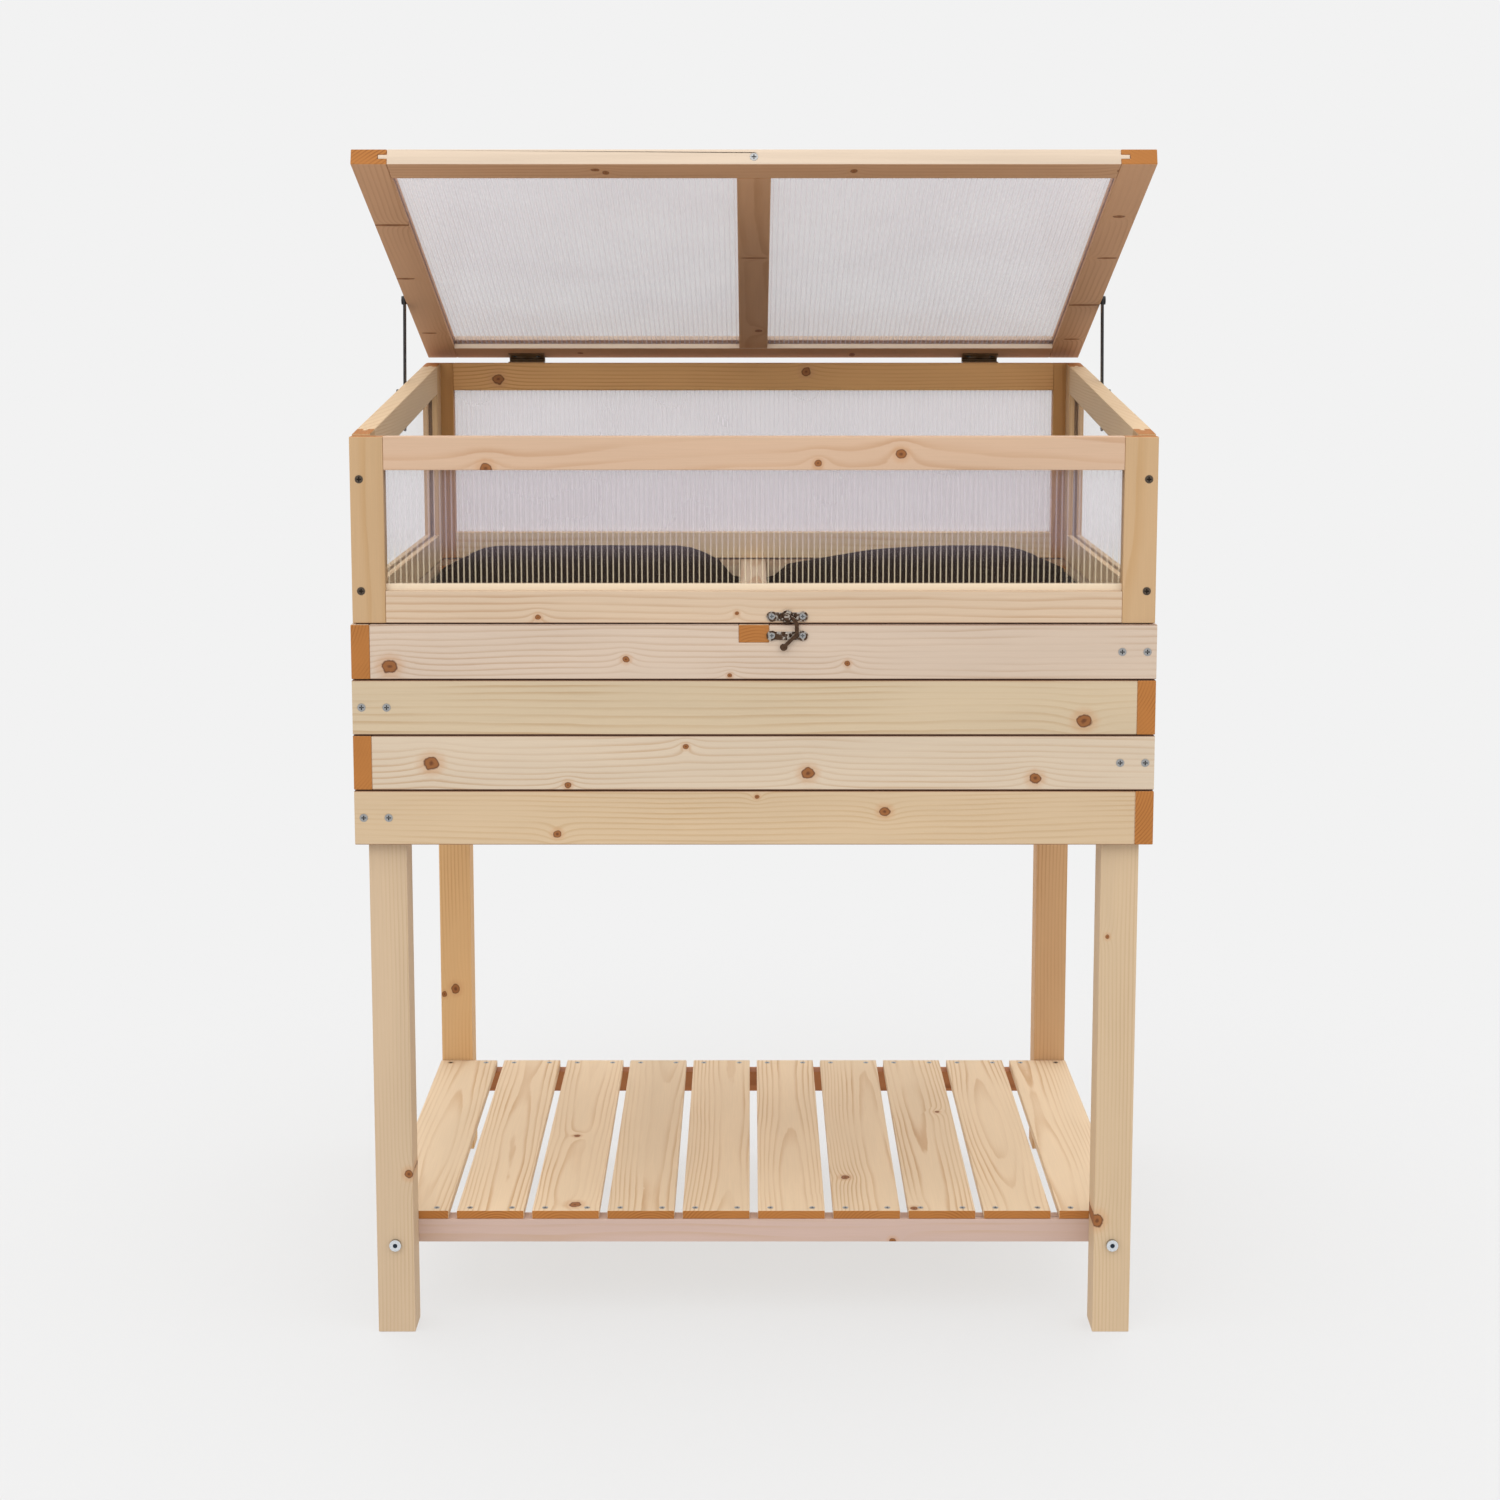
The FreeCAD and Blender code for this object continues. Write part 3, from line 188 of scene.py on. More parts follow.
def spruce(name, along, across, knots=(), seed=0.0, courses=None, slope=0.0,
           pale="#dcc3a6", line="#c49a72", ring=3.2, pith=(0.0, 60.0), wild=True,
           edges=None, wander=0.013, seams=None, rim=None):
    """Planed spruce with its grain along one axis. along and across are the axes of the
    grain and of the board's width. knots are (place along, place across, radius) in
    millimetres, and a fourth number is how much longer one is across the board. courses is
    (axis, start, pitch) where one CAD piece is several boards.
    ring is the spacing of the growth rings in millimetres, and pith is where the middle of the tree
    was, across and below the board. edges is a paler colour painted on the narrow faces that look
    across the board, a painted highlight for the light that falls on them. wander is how far a
    growth line strays, in metres. seams is (start, pitch) of the joints between courses, where the
    eased edges get painted shade, a dark brown line for the shadow in the gap, and rim is the
    height of an open top edge, which gets none."""
    made, tree = blank(name)
    calc = arithmetic(tree)

    def either_way(value, much):
        """A number from 0 to 1, as a change of up to half of much, up or down."""
        return calc("MULTIPLY", calc("SUBTRACT", value, 0.5), much)

    place = put(tree, "TexCoord")
    turned = put(tree, "Mapping", {"Vector": place.outputs["Object"],
                                   "Rotation": (-slope, 0.0, 0.0)}, vector_type="POINT")
    normal = put(tree, "Mapping", {"Vector": place.outputs["Normal"],
                                   "Rotation": (-slope, 0.0, 0.0)}, vector_type="NORMAL")
    split = put(tree, "SeparateXYZ", {0: turned.outputs[0]})
    facing = put(tree, "SeparateXYZ", {0: normal.outputs[0]})
    axes = {"x": 0, "y": 1, "z": 2}
    third = ({"x", "y", "z"} - {along, across}).pop()
    u, v, w = (split.outputs[axes[a]] for a in (along, across, third))

    # which board of the group this is, and chance numbers that differ from board to board
    if courses:
        which = calc("FLOOR", calc("DIVIDE", calc("SUBTRACT", split.outputs[axes[courses[0]]],
                                                   courses[1] / 1000), courses[2] / 1000))
        tag = calc("ADD", which, seed)
    else:
        tag = calc("ADD", seed, 0.0)
    from_middle = v
    if courses and courses[0] == across:
        from_middle = calc("SUBTRACT", v, calc("MULTIPLY_ADD", which, courses[2] / 1000,
                                               (courses[1] + courses[2] / 2) / 1000))
    chance = put(tree, "TexWhiteNoise", {"W": tag}, noise_dimensions="1D")
    luck = put(tree, "SeparateColor", {0: chance.outputs["Color"]})
    shift = calc("MULTIPLY", luck.outputs[0], 7.0)
    u_own = calc("ADD", u, shift)

    # knots: the distance from the nearest one, counted in its own radius
    squash = 0.88  # knots are a little longer along the grain than across it
    reached = []
    for along_mm, across_mm, radius, *spike in knots:
        du = calc("MULTIPLY", calc("SUBTRACT", u, along_mm / 1000), squash)
        dv = calc("SUBTRACT", v, across_mm / 1000)
        if spike:  # sawn along its length, so that it crosses the board as a streak
            dv = calc("DIVIDE", dv, spike[0])
        reached.append(calc("DIVIDE", length(tree, du, dv), radius / 1000))
    if wild:
        # a chance knot in about every second patch of 330 by 140 mm
        cell = put(tree, "CombineXYZ", {0: calc("MULTIPLY", u_own, 3.0),
                                        1: calc("MULTIPLY", v, 7.0),
                                        2: calc("MULTIPLY", tag, 3.7)})
        patch = put(tree, "TexVoronoi", {"Vector": cell.outputs[0], "Scale": 1.0,
                                         "Randomness": 0.8}, voronoi_dimensions="3D")
        middle = put(tree, "SeparateXYZ", {0: patch.outputs["Position"]})
        du = calc("SUBTRACT", u_own, calc("DIVIDE", middle.outputs[0], 3.0))
        dv = calc("SUBTRACT", v, calc("DIVIDE", middle.outputs[1], 7.0))
        size = put(tree, "SeparateColor", {0: patch.outputs["Color"]})
        radius = calc("MAXIMUM", either_way(size.outputs[0], 0.012), 0.0002)
        reached.append(calc("DIVIDE", length(tree, calc("MULTIPLY", du, squash), dv), radius))
    if reached:  # no knot is quite round
        nearest = reached[0]
        for other in reached[1:]:
            nearest = calc("MINIMUM", nearest, other)
        ragged = put(tree, "TexNoise", {"Vector": turned.outputs[0], "Scale": 170.0,
                                        "Detail": 2.0})
        nearest = calc("ADD", nearest, either_way(ragged.outputs[0], 0.7))
    else:
        nearest = calc("ADD", 99.0, 0.0)

    # growth rings: the distance from the pith, wandering slowly along the board
    drift_place = put(tree, "CombineXYZ", {0: calc("MULTIPLY", u_own, 1.7),
                                           1: calc("MULTIPLY", v, 7.0),
                                           2: calc("ADD", calc("MULTIPLY", w, 7.0),
                                                   calc("MULTIPLY", tag, 5.3))})
    drift = put(tree, "TexNoise", {"Vector": drift_place.outputs[0], "Scale": 1.0,
                                   "Detail": 2.0, "Roughness": 0.45})

    def stretched(along_scale, across_scale, detail=2.0):
        """Noise that is drawn out along the grain."""
        spot = put(tree, "CombineXYZ", {0: calc("MULTIPLY", u_own, along_scale),
                                        1: calc("MULTIPLY", v, across_scale),
                                        2: calc("MULTIPLY", w, across_scale)})
        return put(tree, "TexNoise", {"Vector": spot.outputs[0], "Scale": 1.0,
                                      "Detail": detail}).outputs[0]

    ripple = stretched(14.0, 90.0, detail=3.0)
    strayed = either_way(luck.outputs[1], 0.05)
    off_v = calc("SUBTRACT", from_middle, calc("ADD", pith[0] / 1000, strayed))
    out = length(tree, off_v, calc("ADD", w, pith[1] / 1000))
    swell = calc("EXPONENT", calc("MULTIPLY", nearest, -0.42))
    out = calc("ADD", out, either_way(drift.outputs[0], wander))
    out = calc("ADD", out, either_way(ripple, 0.0012))
    out = calc("ADD", out, calc("MULTIPLY", swell, 0.0055))
    turn = calc("FRACT", calc("DIVIDE", out, ring / 1000))
    late = calc("MULTIPLY", smooth(tree, turn, 0.45, 0.9), smooth(tree, turn, 0.9, 1.0, 1.0, 0.0))
    # the late wood is stronger in some years and places than in others
    years = put(tree, "TexNoise", {"Vector": drift_place.outputs[0], "Scale": 3.1,
                                   "Detail": 1.0})
    late = calc("MULTIPLY", late, put(tree, "MapRange", {
        "Value": years.outputs[0], "From Min": 0.36, "From Max": 0.72,
        "To Min": 0.12, "To Max": 0.95}).outputs[0])
    colour = blend(tree, late, pale, line)

    # fibres, 0.8 mm wide here so that they show, and slow changes of tone along a board
    fibre = stretched(22.0, 1200.0)
    tone = stretched(3.0, 20.0)
    light = calc("ADD", 0.86, either_way(fibre, 0.10))
    light = calc("ADD", light, either_way(tone, 0.16))
    light = calc("ADD", light, either_way(luck.outputs[2], 0.07))

    # a knot is amber at its rim, brown inside, with its own fine rings and a dark edge
    for low, high, before, code in ((1.0, 2.6, 0.45, "#cf9a6c"), (0.93, 1.16, 0.95, "#683c20"),
                                    (0.76, 0.96, 1.0, "#9d6438"), (0.1, 0.5, 0.8, "#663a20")):
        colour = blend(tree, smooth(tree, nearest, low, high, before, 0.0), colour, code)

    # painted shade: a dark brown line along the eased edges of each joint between courses, for the
    # shadow in the gap
    if seams:
        within = calc("MULTIPLY", calc("FRACT", calc("DIVIDE", calc("SUBTRACT", v, seams[0] / 1000),
                                                     seams[1] / 1000)), seams[1])
        gap = calc("MINIMUM", within, calc("SUBTRACT", seams[1], within))
        painted_light_mask = smooth(tree, gap, 0.8, 1.9, 0.8, 0.0)
        if rim:  # the rim stands open when the frame is tipped back, so it gets no painted shade
            lower = calc("LESS_THAN", v, (rim - 0.4) / 1000)
            painted_light_mask = calc("MULTIPLY", painted_light_mask, calc("MAXIMUM", lower, calc("LESS_THAN", calc(
                "ABSOLUTE", facing.outputs[axes[across]]), 0.9)))
        colour = blend(tree, painted_light_mask, colour, "#74370f")
    # painted highlight: the faces that look across the board are painted paler, for the light that
    # falls on them
    if edges:
        narrow = calc("MULTIPLY", calc("GREATER_THAN", calc(
            "ABSOLUTE", facing.outputs[axes[across]]), 0.7), 0.85)
        colour = blend(tree, narrow, colour, edges)

    # sawn ends, where the face looks along the grain
    end = calc("GREATER_THAN", calc("ABSOLUTE", facing.outputs[axes[along]]), 0.7)
    colour = blend(tree, end, colour, blend(tree, late, "#bc7a3c", "#94561e"))
    lit = put(tree, "VectorMath", {0: colour, "Scale": light}, operation="SCALE")

    # planed and not varnished: dull, a little smoother on the hard late wood
    dull = put(tree, "MapRange", {"Value": late, "To Min": 0.68, "To Max": 0.55}).outputs[0]
    height = calc("ADD", calc("MULTIPLY", fibre, 0.35), calc("MULTIPLY", late, 0.4))
    relief = put(tree, "Bump", {"Height": height, "Strength": 0.18, "Distance": 0.0006})
    shell = put(tree, "BsdfPrincipled", {"Base Color": lit.outputs[0], "Roughness": dull,
                                         "Normal": relief.outputs[0], "IOR": 1.45})
    shell.inputs["Specular IOR Level"].default_value = 0.3
    put(tree, "OutputMaterial", {"Surface": shell.outputs[0]})
    return made


for name, seed, pale, line, knots in (
        ("leg_front_left", 1, "#d6bb9b", "#c9ab87", ((170, -354, 4),)),
        ("leg_front_right", 2, "#d6bb99", "#c9ab85", ((120, 353, 6), (420, 358, 2))),
        ("leg_rear_left", 3, "#e2b884", "#c9935a", ((207, -370, 5), (200, -384, 3))),
        ("leg_rear_right", 4, "#dcb183", "#c28f5c", ())):
    finish_with(spruce("planed_spruce_" + name, "z", "x", knots=knots, seed=seed, pale=pale,
                       line=line, pith=(-40 if "left" in name else 40, 70), wild=False), name,
                body="planter")


# The planter's walls are four courses of 18.5 mm spruce boards. At the corners the courses
# lap in turn, so that every second board shows its sawn end. Each board has its own knots.
lowest_course, course = 517.4, 56  # the walls' lower edge, and from one course to the next
# The joints between courses get a dark line of painted shade; the walls' top edge above this height
# gets none.
unshaded_rim = 740  # above this the walls' top edge is bare
for name, seed, pale, line, pith, ring, knots in (
        ("front_board_1", 11, "#dec8b3", "#c9ab90", (830, 60), 2.5,
         ((-362, 699, 6.5), (-127, 706, 3), (93, 702, 2.5), (-24, 690, 2))),
        ("front_board_2", 12, "#dac4a4", "#c5a57e", (575, 60), 3.0, ((329, 644, 6.5),)),
        ("front_board_3", 13, "#e0ccb3", "#cdae8e", (710, 60), 2.7,
         ((-322, 601, 6.5), (54, 591, 5.5), (281, 586, 5), (-68, 618, 2.5), (-186, 579, 3))),
        ("front_board_4", 14, "#d9be9b", "#c8a67c", (430, 80), 2.4,
         ((131, 552, 4.5), (-197, 529, 3.5), (3, 567, 2)))):
    finish_with(spruce("planed_spruce_" + name, "x", "z", knots=knots, seed=seed,
                       pale=pale, line=line, ring=ring, pith=pith, wild=False,
                       seams=(lowest_course, course), rim=unshaded_rim), name, body="planter")
for name, along, below, seed in (("rear_boards", "x", -230, 20), ("left_boards", "y", 470, 30),
                                 ("right_boards", "y", -330, 36)):
    finish_with(spruce("planed_spruce_" + name, along, "z", seed=seed, pith=(45, below),
                       seams=(lowest_course, course), rim=unshaded_rim,
                       courses=("z", lowest_course, course)), name, body="planter")
finish_with(spruce("planed_spruce_brace", "y", "x", seed=41, pith=(0, -700)), "cross_brace",
            body="planter")
finish_with(spruce("planed_spruce_bearers", "y", "x", seed=42, pith=(0, -500)), "floor_bearers",
            body="planter")
finish_with(spruce("planed_spruce_floor", "x", "y", seed=43, pith=(0, -500)), "floor_slats",
            body="planter")


# The shelf is ten spruce slats laid on two spruce rails, which are bolted between the legs.
# The rear rail is painted darker and redder than the front one, as painted shade: it stands in the
# shadow of the slats.
finish_with(spruce("planed_spruce_shelf_slats", "y", "x", seed=51, courses=("x", -393.5, 78.7),
                   knots=((-232, -188, 6),), pale="#ecd2b0", line="#cfa67a", ring=3.0,
                   wander=0.02, pith=(0, -75)), "shelf_slats", body="planter")
finish_with(spruce("planed_spruce_shelf_front_rail", "x", "z", seed=61, pale="#d2b5a7",
                   line="#cba98e", pith=(95, 300)), "shelf_rail_front", body="planter")
finish_with(spruce("planed_spruce_shelf_rear_rail", "x", "z", seed=62, pale="#bd7d50",
                   line="#9c5f36", pith=(95, -300)), "shelf_rail_rear", body="planter")


# The hinged frame is 18 mm spruce: stiles on end at the corners, rails between them, and
# the twin-wall panels held in grooves.
for name, seed, pale, line, pith, knots in (
        ("front_top_rail", 71, "#d9b79a", "#c99f7c", (960, 45),
         ((-264, 896, 5), (63, 901, 3), (145, 910, 4.5))),
        ("front_bottom_rail", 72, "#dcc2a6", "#c6a280", (860, 60),
         ((-214, 748, 2.5), (-17, 752, 1.8))),
        ("rear_top_rail", 73, "#e0ab70", "#c08850", (1010, -340),
         ((-310, 961, 6), (64, 970, 5))),
        ("rear_bottom_rail", 74, "#efd3a6", "#d9b37f", (800, -340), ())):
    # The bottom rails' lower edge gets a dark line of painted shade (seams), for the shadow in the
    # gap above the planter's top board.
    finish_with(spruce("planed_spruce_" + name, "x", "z", knots=knots, seed=seed, pale=pale,
                       line=line, pith=pith, wild=False,
                       seams=(lowest_course + 4 * course, 900) if "bottom" in name else None),
                name, body="frame")
for name, seed in (("front_stile_left", 75), ("front_stile_right", 76),
                   ("rear_stile_left", 77), ("rear_stile_right", 78)):
    finish_with(spruce("planed_spruce_" + name, "z", "x", seed=seed, wild=False,
                       pale="#d2ae84" if "front" in name else "#cf9c62",
                       line="#cba374" if "front" in name else "#b37c45",
                       pith=(420 if "right" in name else -420, 40)), name, body="frame")
finish_with(spruce("planed_spruce_side_stiles", "z", "y", seed=79, wild=False,
                   pale="#d6b083", line="#bf9160"),
            "left_panel_stiles", "right_panel_stiles", body="frame")
finish_with(spruce("planed_spruce_side_rails", "y", "z", seed=80, wild=False,
                   pale="#dfc29c", line="#cba47a"),
            "left_panel_top_rail", "left_panel_bottom_rail",
            "right_panel_top_rail", "right_panel_bottom_rail", body="frame")


# The lid is a spruce frame with a middle bar. It stands open on its stays, 20 degrees up
# from level, so its pieces' grain and knots are placed along that slope.
for name, along, across, seed, knots, names in (
        ("front_rail", "x", "y", 91,
         ((-157, -643, 3.5), (-147, -636, 3, 1.5), (99, -640, 3, 1.5), (364, -640, 4)),
         ("lid_front_rail",)),
        ("back_rail", "x", "y", 92, ((-210, -78, 3), (120, -72, 3, 2)), ("lid_back_rail",)),
        ("side_rails", "y", "x", 93,
         ((-496, -379, 2.5, 8), (-336, -388, 2.2, 5), (-152, -384, 2.0, 4), (-20, -379, 1.5, 5),
          (-520, 379, 3, 2), (-400, 384, 2, 5), (-250, 378, 2.6, 7), (-130, 380, 1.8, 5)),
         ("lid_side_rail_left", "lid_side_rail_right")),
        ("middle_bar", "y", "x", 94, ((-400, 0, 1.6, 9), (-160, 6, 4)), ("lid_mullion",))):
    # The lid's wood is painted darker and warmer than the rest, as painted shade for its
    # undersides, and the front and back rails' faces that look along y get the paler edge colour, a
    # painted highlight for the lit front edge.
    finish_with(spruce("planed_spruce_lid_" + name, along, across, seed=seed, knots=knots,
                       slope=math.radians(-20.2), pale="#d09f77", line="#b98558",
                       edges="#ecdac4" if across == "y" else None,
                       pith=(60 if along == "y" else -900, -500), wild=False),
                *names, body="lid")


# The panels are 4 mm twin-wall polycarbonate, extruded as two thin clear skins with ribs
# between them every 5.7 mm. It looks milky, lets the light through, and each rib shows as
# a pale line.
def twin_wall(name, rib_axis, slope=0.0, skin=(0.13, "#a797a3"), rib=(0.24, "#cdc0ca"),
              sill=None):
    """The panel's skins and ribs, each as how much they hide and their colour. sill is the height
    of the rail that the panel stands in. Above it the ribs are painted with the wood's light
    creeping up them and the skins are darker brown, and a nearly opaque cream strip at the foot is
    a painted highlight of the rail's lit top seen through the panel."""
    made, tree = blank(name)
    calc = arithmetic(tree)
    place = put(tree, "TexCoord")
    turned = put(tree, "Mapping", {"Vector": place.outputs["Object"],
                                   "Rotation": (-slope, 0.0, 0.0)})
    split = put(tree, "SeparateXYZ", {0: turned.outputs[0]})
    side = split.outputs[{"x": 0, "y": 1, "z": 2}[rib_axis]]
    rib_pitch = 0.0057
    off = calc("ABSOLUTE", calc("SUBTRACT", calc("FRACT", calc("DIVIDE", side, rib_pitch)), 0.5))
    on_rib = smooth(tree, off, 0.07, 0.17, 1.0, 0.0)
    cover = put(tree, "MapRange", {"Value": on_rib, "To Min": skin[0], "To Max": rib[0]}).outputs[0]
    cloud = put(tree, "TexNoise", {"Vector": place.outputs["Object"], "Scale": 9.0,
                                   "Detail": 2.0})
    cover = calc("MULTIPLY", cover, calc("ADD", 0.85, calc("MULTIPLY", cloud.outputs[0], 0.3)))
    rib_colour = rib[1]
    if sill:
        # painted light: near the sill the ribs take the wood's cream light, and the cream strip at
        # the foot is a painted highlight of the rail's lit top
        up = split.outputs[2]
        warm = smooth(tree, up, sill + 0.02, sill + 0.055, 1.0, 0.0)
        rib_colour = blend(tree, warm, rib[1], "#ead9ba")
        cover = calc("MULTIPLY_ADD", calc("MULTIPLY", on_rib, warm), 0.17, cover)
        cover = calc("SUBTRACT", cover, calc("MULTIPLY", warm, 0.07))
        painted_sill_highlight = smooth(tree, up, sill + 0.0065, sill + 0.0075, 1.0, 0.0)
        cover = calc("MAXIMUM", cover, calc("MULTIPLY", painted_sill_highlight, 0.9))
    skin_colour = blend(tree, warm, skin[1], "#5f4b3c") if sill else skin[1]
    milk = blend(tree, on_rib, skin_colour, rib_colour)
    if sill:
        milk = blend(tree, painted_sill_highlight, milk, "#efdcc0")
    shell = put(tree, "BsdfPrincipled", {"Base Color": milk, "Roughness": 0.22, "IOR": 1.58,
                                         "Alpha": cover})
    shell.inputs["Specular IOR Level"].default_value = 0.4
    put(tree, "OutputMaterial", {"Surface": shell.outputs[0]})
    return made


# The four panes are one material, but each is given its own skin and rib colours to how bright it
# looks where it stands: lit and shaded copies, which is painted light.
finish_with(twin_wall("twin_wall_upright", "x", sill=0.774), "front_glazing")
finish_with(twin_wall("twin_wall_rear", "x", skin=(0.32, "#e2d7de"), rib=(0.40, "#ece4e9")),
            "rear_glazing")
finish_with(twin_wall("twin_wall_sides", "y", skin=(0.10, "#aca4a6"), rib=(0.24, "#cdc5c8")),
            "side_glazing")
finish_with(twin_wall("twin_wall_lid", "x", skin=(0.28, "#d1c3ca"), rib=(0.40, "#f2e8ed")),
            "lid_glazing")


# The liner is a bag of black non-woven felt, sewn at its corners and pushed down into the
# planter. It is matt, slightly hairy and almost black, and its loose top edge rises in two
# soft humps along the back wall.
low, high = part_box("liner")
post_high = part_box("leg_front_left")[1]
base = low.z + 0.001
rim = 0.7335
reach = Vector((high.x - 0.002, high.y - 0.002))
corner = Vector((-post_high.x - 0.004, -post_high.y - 0.004))  # clear of the legs' inner faces
courses_up = 18  # rows of cloth from the floor to the rim
row = (rim - base) / courses_up
hump_from = 0.03  # where the humps of the rear edge start, each side of the brace
hump = 0.0265  # how far they rise
notch = 0.035  # half the width of the dip that lets the brace through
dip_depth = 0.0150
crease_depth = 0.0028
bpy.ops.mesh.primitive_plane_add(size=1, location=(0, 0, base))
liner = bpy.context.object
liner.name = "felt_liner"
liner.scale = (2 * reach.x, 2 * reach.y, 1)
bpy.ops.object.transform_apply(location=True, rotation=True, scale=True)
bpy.ops.object.mode_set(mode="EDIT")
for axis in (0, 1):
    for way in (-1, 1):
        bpy.ops.mesh.select_all(action="SELECT")
        point, normal = [0, 0, 0], [0, 0, 0]
        point[axis], normal[axis] = way * corner[axis], 1
        bpy.ops.mesh.bisect(plane_co=point, plane_no=normal)
work = bmesh.from_edit_mesh(liner.data)
for face in work.faces:  # the four corners, where the legs stand
    middle = face.calc_center_median()
    face.select_set(abs(middle.x) > corner.x and abs(middle.y) > corner.y)
bmesh.update_edit_mesh(liner.data)
bpy.ops.mesh.delete(type="FACE")
bpy.ops.mesh.select_all(action="SELECT")
bpy.ops.mesh.subdivide(number_cuts=40)
for level in range(courses_up):
    work = bmesh.from_edit_mesh(liner.data)
    for part in (work.faces, work.edges, work.verts):
        for item in part:
            item.select_set(False)
    for item in work.edges:
        item.select_set(item.is_boundary)
    bmesh.update_edit_mesh(liner.data)
    bpy.ops.mesh.extrude_edges_move(TRANSFORM_OT_translate={"value": (0, 0, row)})
bpy.ops.object.mode_set(mode="OBJECT")
for point in liner.data.vertices:
    p = point.co.copy()
    up = (p.z - base) / (rim - base)
    # shallow creases that run down the walls, always inwards
    crease = noise.noise(Vector((p.x * 11, p.y * 11, p.z * 4))) + 0.5 * noise.noise(
        Vector((p.x * 31, p.y * 31, p.z * 12)))
    deep = crease_depth * (1 + crease)
    for axis in (0, 1):
        if abs(abs(p[axis]) - reach[axis]) < 1e-5 or (
                abs(abs(p[axis]) - corner[axis]) < 1e-5 and up > 0.001
                and abs(p[1 - axis]) > corner[1 - axis] - 1e-5):
            point.co[axis] -= math.copysign(deep, p[axis])
    if up < 0.001:
        point.co.z += 0.0012 * (1 + crease)
    rise = max(0.0, up) ** 3
    round_leg = abs(p.x) > corner.x - 1e-5 and p.y > corner.y - 0.001
    if (p.y > reach.y - 0.001 or round_leg) and abs(p.x) > hump_from:
        t = (abs(p.x) - hump_from) / (reach.x - hump_from)
        start, stop = (0.18, 0.20) if p.x < 0 else (0.60, 0.24)
        ramp = max(0.0, min(1.0, t / start, (1 - t) / stop))
        point.co.z += hump * rise * math.sin(ramp * math.pi / 2) * (0.94 + 0.06 * crease)
    if abs(p.x) < notch and abs(p.y) > reach.y - 0.001:
        dip = min(1.0, (notch - abs(p.x)) / 0.012)
        point.co.z -= dip_depth * rise * dip
    if up > 0.05 and abs(p.y) <= reach.y - 0.001 and not round_leg:
        point.co.z -= 0.002 * rise * (1 + crease)
bpy.ops.object.modifier_add(type="SOLIDIFY")
liner.modifiers[-1].thickness = 0.0012
liner.modifiers[-1].offset = 0
bpy.ops.object.modifier_apply(modifier=liner.modifiers[-1].name)
bpy.ops.object.shade_smooth()
felt, tree = blank("black_nonwoven_felt")
place = put(tree, "TexCoord")
fuzz = put(tree, "TexNoise", {"Vector": place.outputs["Object"], "Scale": 900.0, "Detail": 3.0})
blotch = put(tree, "TexNoise", {"Vector": place.outputs["Object"], "Scale": 60.0, "Detail": 2.0})
both = put(tree, "Math", {0: fuzz.outputs[0], 1: blotch.outputs[0]}, operation="ADD")
shade_of = put(tree, "MapRange", {"Value": both.outputs[0], "From Min": 0.6, "From Max": 1.4})
black = blend(tree, shade_of.outputs[0], "#150f0c", "#2b221d")
relief = put(tree, "Bump", {"Height": fuzz.outputs[0], "Strength": 0.4, "Distance": 0.0005})
shell = put(tree, "BsdfPrincipled", {"Base Color": black, "Roughness": 0.9,
                                     "Normal": relief.outputs[0]})
shell.inputs["Sheen Weight"].default_value = 0.05
shell.inputs["Specular IOR Level"].default_value = 0.2
put(tree, "OutputMaterial", {"Surface": shell.outputs[0]})
liner.data.materials.append(felt)
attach(liner, "planter")
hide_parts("liner")


# The screws and the long rear hinges are zinc-plated steel: grey, slightly mottled and half
# dull. The frame's own screws are brown phosphated steel, darker and duller.
def metal(name, light_code, dark_code, rough, grain_mm, metallic=1.0):
    """A mottled metal, lacquer or plastic: grain_mm is the size of the mottling."""
    made, tree = blank(name)
    place = put(tree, "TexCoord")
    mottle = put(tree, "TexNoise", {"Vector": place.outputs["Object"],
                                    "Scale": 1000.0 / grain_mm, "Detail": 3.0})
    clean = blend(tree, mottle.outputs[0], dark_code, light_code)
    # painted shade: darker in the recesses and under the rims, by how shut in each point is
    shut = put(tree, "AmbientOcclusion", {"Color": clean, "Distance": 0.004}, samples=8)
    open_to = put(tree, "MapRange", {"Value": shut.outputs["AO"], "From Min": 0.45,
                                     "From Max": 0.95, "To Min": 0.08, "To Max": 1.0})
    recess_painted_shade = put(tree, "VectorMath", {0: clean, "Scale": open_to.outputs[0]}, operation="SCALE")
    dull = put(tree, "MapRange", {"Value": mottle.outputs[0], "To Min": rough - 0.08,
                                  "To Max": rough + 0.08})
    relief = put(tree, "Bump", {"Height": mottle.outputs[0], "Strength": 0.1,
                                "Distance": 0.0002})
    shell = put(tree, "BsdfPrincipled", {"Base Color": recess_painted_shade.outputs[0],
                                         "Roughness": dull.outputs[0], "Metallic": metallic,
                                         "Normal": relief.outputs[0]})
    put(tree, "OutputMaterial", {"Surface": shell.outputs[0]})
    return made


def tinted(material, much, code):
    """Lays another colour over the material's own, as much as the socket says."""
    tree = material.node_tree
    shell = next(n for n in tree.nodes if n.type == "BSDF_PRINCIPLED")
    own = shell.inputs["Base Color"].links[0].from_socket
    tree.links.new(blend(tree, much, own, code), shell.inputs["Base Color"])


zinc = metal("zinc_plated_steel", "#b9b9b8", "#8b8b8c", 0.38, 1.5)
finish_with(zinc, "board_screws", "shelf_screws", "rear_hinge_fixed_leaves",
            "rear_hinge_moving_leaves", "lid_screws")
finish_with(metal("brown_phosphated_steel", "#6b6055", "#4a4038", 0.5, 1.2), "frame_screws")


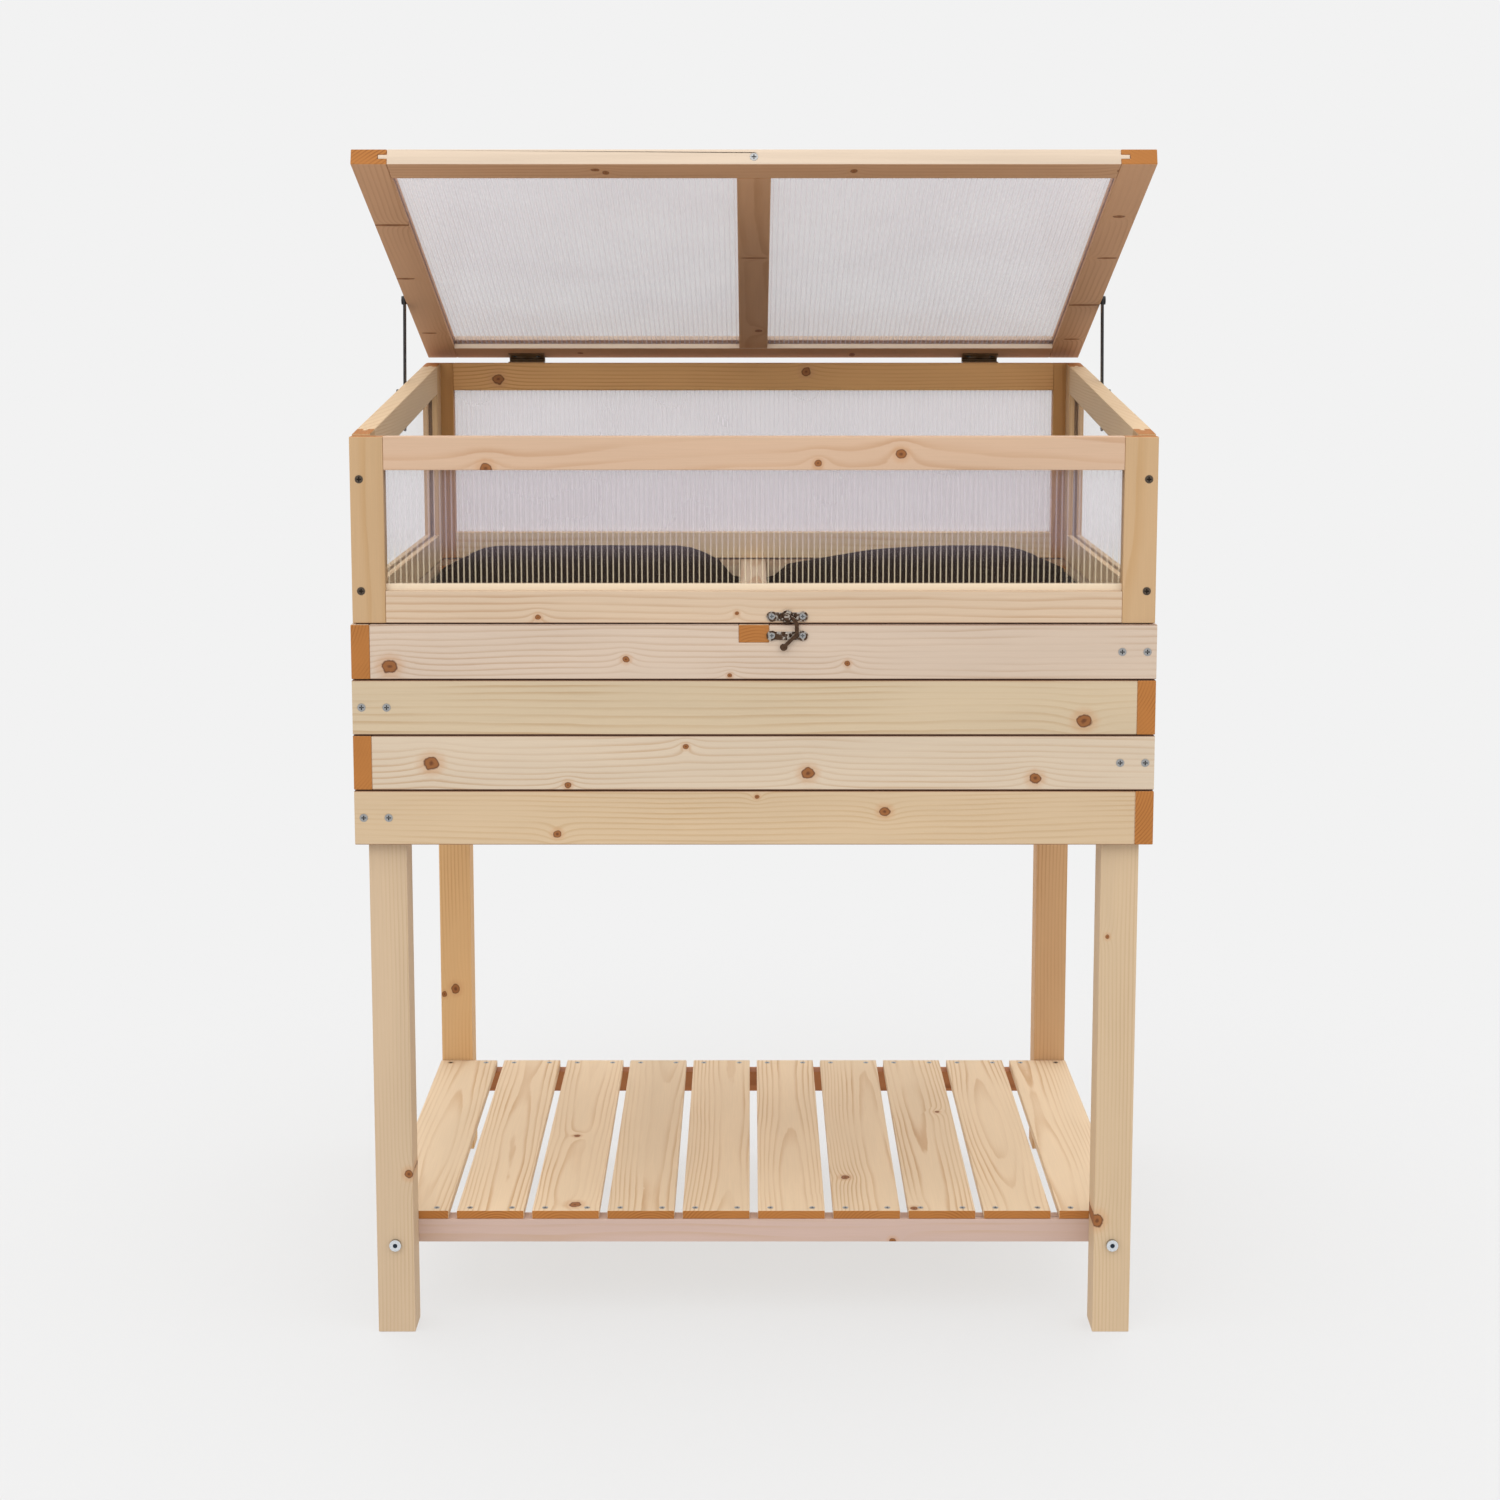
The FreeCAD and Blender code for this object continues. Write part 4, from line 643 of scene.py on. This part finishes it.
# The lid hinges are brown lacquered steel, and the stays black lacquered steel, both smooth
# and half dull. The stays' knobs are black moulded plastic, a little duller still.
finish_with(metal("brown_lacquered_steel", "#a8825a", "#80603f", 0.4, 2.0, 0.6),
            "lid_hinge_lower_leaves", "lid_hinge_upper_leaves")
finish_with(metal("black_lacquered_steel", "#2a2a2c", "#1c1c1e", 0.4, 1.5, 0.3),
            "stay_left", "stay_right", "stay_pivots")
finish_with(metal("black_moulded_plastic", "#232325", "#19191b", 0.45, 0.8, 0.0), "stay_knobs")


# The shelf rails hang on four bolts of bright zinc-plated steel, one through each leg. Each domed
# head has a socket for a hex key, whose hollow is painted on as a dark disc: painted shade.
bright_zinc = metal("bright_zinc_plated_steel", "#eef1f4", "#c3c9cf", 0.25, 2.0)
bolt_low, bolt_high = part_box("shelf_bolts")
head = (bolt_high.z - bolt_low.z) / 2
tree = bright_zinc.node_tree
calc = arithmetic(tree)
way = put(tree, "TexCoord")
split = put(tree, "SeparateXYZ", {0: way.outputs["Object"]})
aside = calc("SUBTRACT", calc("ABSOLUTE", split.outputs[0]), bolt_high.x - head)
above = calc("SUBTRACT", split.outputs[2], bolt_low.z + head)
socket = put(tree, "MapRange", {"Value": length(tree, aside, above), "From Min": 0.0021,
                                "From Max": 0.0027, "To Min": 1.0, "To Max": 0.0})
# painted shade: a dark disc where the hex socket's hollow is
tinted(bright_zinc, socket.outputs[0], "#2c3640")
finish_with(bright_zinc, "shelf_bolts")


# The latch at the front is a cast swing hook on a plate, and a keeper plate under it, in dark
# antique bronze. The plates carry a 3 mm noise pattern of painted highlights, for the glints of a
# cast relief that is not modelled, and every face of the three that looks upwards gets a painted
# highlight, for the light from above.
for name, body, relief_highlight_strength, ease in (("latch_plate", "frame", 0.42, 0.0005),
                                       ("latch_keeper", "planter", 0.42, 0.0005),
                                       ("latch_arm", "latch_arm", 0.0, 0.0006)):
    bronze = metal("antique_bronze_" + name, "#6d5442", "#2c1e16", 0.22, 1.6)
    tree = bronze.node_tree
    way = put(tree, "TexCoord")
    facing_up = put(tree, "SeparateXYZ", {0: way.outputs["Normal"]})
    painted_top_highlight = put(tree, "MapRange", {"Value": facing_up.outputs[2], "From Min": 0.2,
                                    "From Max": 0.6})
    cast = put(tree, "TexNoise", {"Vector": way.outputs["Object"], "Scale": 330.0,
                                  "Detail": 1.0})
    painted_relief_highlight = put(tree, "MapRange", {"Value": cast.outputs[0], "From Min": 0.50,
                                   "From Max": 0.62, "To Max": relief_highlight_strength})
    # painted highlights: the upward faces and the relief speckles are painted near white
    painted_light_mask = arithmetic(tree)("MAXIMUM", painted_top_highlight.outputs[0], painted_relief_highlight.outputs[0])
    tinted(bronze, painted_light_mask, "#f3ebe0")
    finish_with(bronze, name, body=body, slot="antique_bronze", ease=ease)
finish_with(zinc, "planter_fitting_screws", "frame_fitting_screws")
